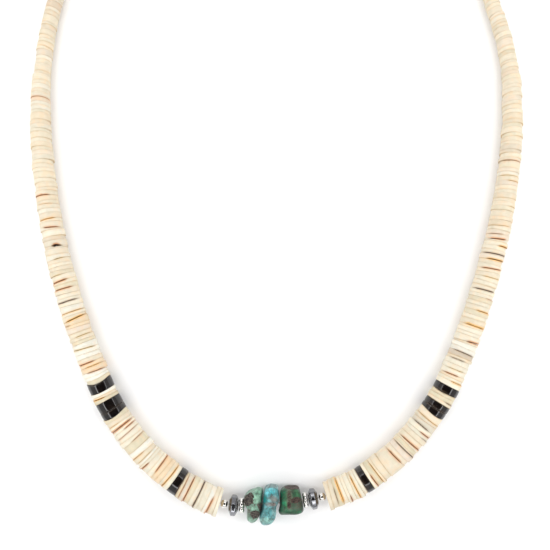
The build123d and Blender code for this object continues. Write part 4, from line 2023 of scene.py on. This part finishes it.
# The nuggets' lumps, and their zones: middle and reaches in picture points, colour or share of
# rock, and turn, each placed over the photograph
LEFT_LUMPS = (
    ((-1.6, 1.2, 1.4), 1.3, 0.35), ((0.9, 0.6, 2.4), 1.2, 0.15), ((-0.4, -1.0, 2.6), 0.9, -0.2),
    ((-0.9, 3.0, 1.6), 0.8, 0.45),
)
LEFT_ZONES = (
    (259.5, 493, 4.5, 6, "#72A089"), (255, 500, 5, 5, "#8DB9A0"), (258, 489, 4, 2.5, "#80AB95"),
    (252.5, 506.5, 3, 4.2, "#8CB8A0", -25), (249, 513, 2.6, 5, "#788A7A"),
    # (262.2, 500) is painted shade: the dark green-black of the gap between the left and middle nuggets
    (253, 520.5, 4.5, 2.2, "#8AAE9A"), (262.2, 500, 1.6, 10, "#35584A"),
    (249, 500.5, 5.4, 6.6, 1.0), (252.3, 497, 2.6, 2.6, 0.9), (251, 494.5, 2.4, 2.2, 0.9),
    (255.5, 514.3, 5.4, 4.5, 1.0), (260.6, 507.5, 2, 5.6, 0.9), (249.5, 511, 1.7, 4.8, 0.52),
    (254, 504.8, 3.4, 2, 0.55), (259.3, 506, 2.8, 4, 0.62), (250.5, 509.5, 1.5, 2, 0.5),
    (254.5, 518.8, 3, 1.2, 0.5), (252.2, 507.5, 2.2, 2.6, -0.5),
)
MIDDLE_LUMPS = (
    ((0.4, -0.2, 3.2), 1.2, -0.3), ((-0.4, 2.8, 2.2), 1.8, 0.2), ((0.3, -2.6, 2.4), 1.8, 0.15),
)
MIDDLE_ZONES = (
    (272, 486, 8, 2.8, "#6D8383"), (274, 487, 6, 2.6, 0.44), (270, 492.5, 7, 4.8, "#60B2BA"),
    (272.5, 493.5, 3.2, 3, "#4DB6BD"), (265.3, 499.5, 3, 4.6, "#0C7775"),
    (274, 499.5, 5.5, 3.6, "#76827F", 25), (274, 499.5, 5.5, 3.6, 0.5, 25),
    (270.5, 504.8, 5.2, 2.6, "#7F8481"), (270.5, 504.8, 5.2, 2.6, 0.47),
    (273.8, 505, 2.6, 1.6, "#8F7E78"), (267.5, 512, 7, 5, "#549799"),
    (266, 520.5, 7.5, 3.2, "#8ABBB1"), (274.3, 512, 2.4, 5.5, "#78A5A4"),
    # (262.6, 509) is painted shade: the dark gap between the left and middle nuggets
    (262.6, 509, 1.5, 7, "#2A5C60", 15), (268.5, 514, 3, 3, 0.36),
)
RIGHT_LUMPS = (
    ((-1.0, 0.2, 3.2), 0.9, -0.2), ((1.8, 1.8, 2.6), 1.4, 0.15), ((-2.7, 2.7, 1.0), 1.1, 0.35),
    ((-3.0, -3.1, 1.0), 1.1, 0.35), ((3.0, -2.9, 1.0), 1.1, 0.35),
)
RIGHT_ZONES = (
    # (280.4, 500) is painted shade: the near-black green of the gap between the middle and right
    # nuggets
    (283, 497, 3, 11, "#006B47"), (280.4, 500, 1.8, 10, "#022B1C"),
    (286, 503.5, 1.5, 9, "#2F7750"), (289.5, 499, 3.2, 13, "#566450"), (289.3, 497, 2.8, 9, 0.6),
    (296.8, 493.6, 4.2, 4, "#2F6643"), (292.5, 487.2, 9, 2.7, 1.0),
    (295.5, 500.5, 6.2, 3.6, 0.85, -12), (289, 505.5, 2.4, 4.5, 0.78),
    (297.8, 506.3, 5.5, 4, "#3F5442"), (297.8, 506.3, 5.5, 3.5, 0.52),
    # (302, 500) is painted shade: the dark strip beside the granule ring
    (292, 511.8, 10, 1.8, "#2A6646"), (302, 500, 1.5, 10, "#243328"),
)


def main() -> None:
    """Builds the necklace's pieces in order, then the studio round it."""
    logging.basicConfig(level=logging.INFO, format="%(name)s: %(message)s")
    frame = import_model()
    studio = Studio()
    studio.place_camera()
    nodes = frame["nodes"]
    line = ThreadLine(nodes["thread"])
    log.info("thread: %.1f mm, front at %.1f mm", line.length / MM, line.front / MM)
    finishes = {
        "shell": GroundShell(),
        "black_shell": PolishedBlackShell(),
        "silver": PolishedMetal("silver_tumble_polished", "#F6F4EF", "#B9B4AA", 1.0, (0.05, 0.14)),
        "hematite": PolishedMetal("hematite_polished", "#848589", "#5F6063", 1.0, (0.12, 0.22)),
        # Near-black painted shade and dark reflection for the rondelles' end faces
        "sawn": PolishedMetal("hematite_sawn", "#1E1D20", "#100F11", 0.3, (0.45, 0.60)),
        "thread": WaxedThread(),
    }
    bench = Bench(nodes, line, {name: finish.build() for name, finish in finishes.items()})
    left = ("left", 11, LEFT_PATCHES, LEFT_OPENINGS, LEFT_BOWS)
    right = ("right", 23, RIGHT_PATCHES, RIGHT_OPENINGS, RIGHT_BOWS)
    for side, seed, patches, openings, bows in (left, right):
        gaps = [Opening(*row) for row in openings]
        Strand(side, seed, patches, gaps, bows).build(bench)
    sage = TumbledTurquoise("turquoise_sage_tumbled", ("#0E0A09", "#5E564E"))
    blue = TumbledTurquoise("turquoise_blue_tumbled", ("#272622", "#8E8D85"), 0.5)
    green = TumbledTurquoise("turquoise_green_tumbled", ("#1C1512", "#554238"), 0.4)
    for side, finish, base, middle, lumps, zones in (
        ("left", sage, "#6C937F", (254.1, 505.2), LEFT_LUMPS, LEFT_ZONES),
        ("middle", blue, "#63A7AA", (269.5, 504.2), MIDDLE_LUMPS, MIDDLE_ZONES),
        ("right", green, "#2A4B38", (291.5, 499.6), RIGHT_LUMPS, RIGHT_ZONES),
    ):
        swellings, clouds = [Lump(*row) for row in lumps], [Zone(*row) for row in zones]
        Nugget(side, finish, base, middle, swellings, clouds).build(bench)
    for side in ("left", "right"):
        for bead in (GranuleRing(side), Rondelle(side), SilverBead(side)):
            bead.build(bench)
    BarrelClasp().build(bench)
    PliedThread().build(bench)
    studio.build()


if __name__ == "__main__":
    main()
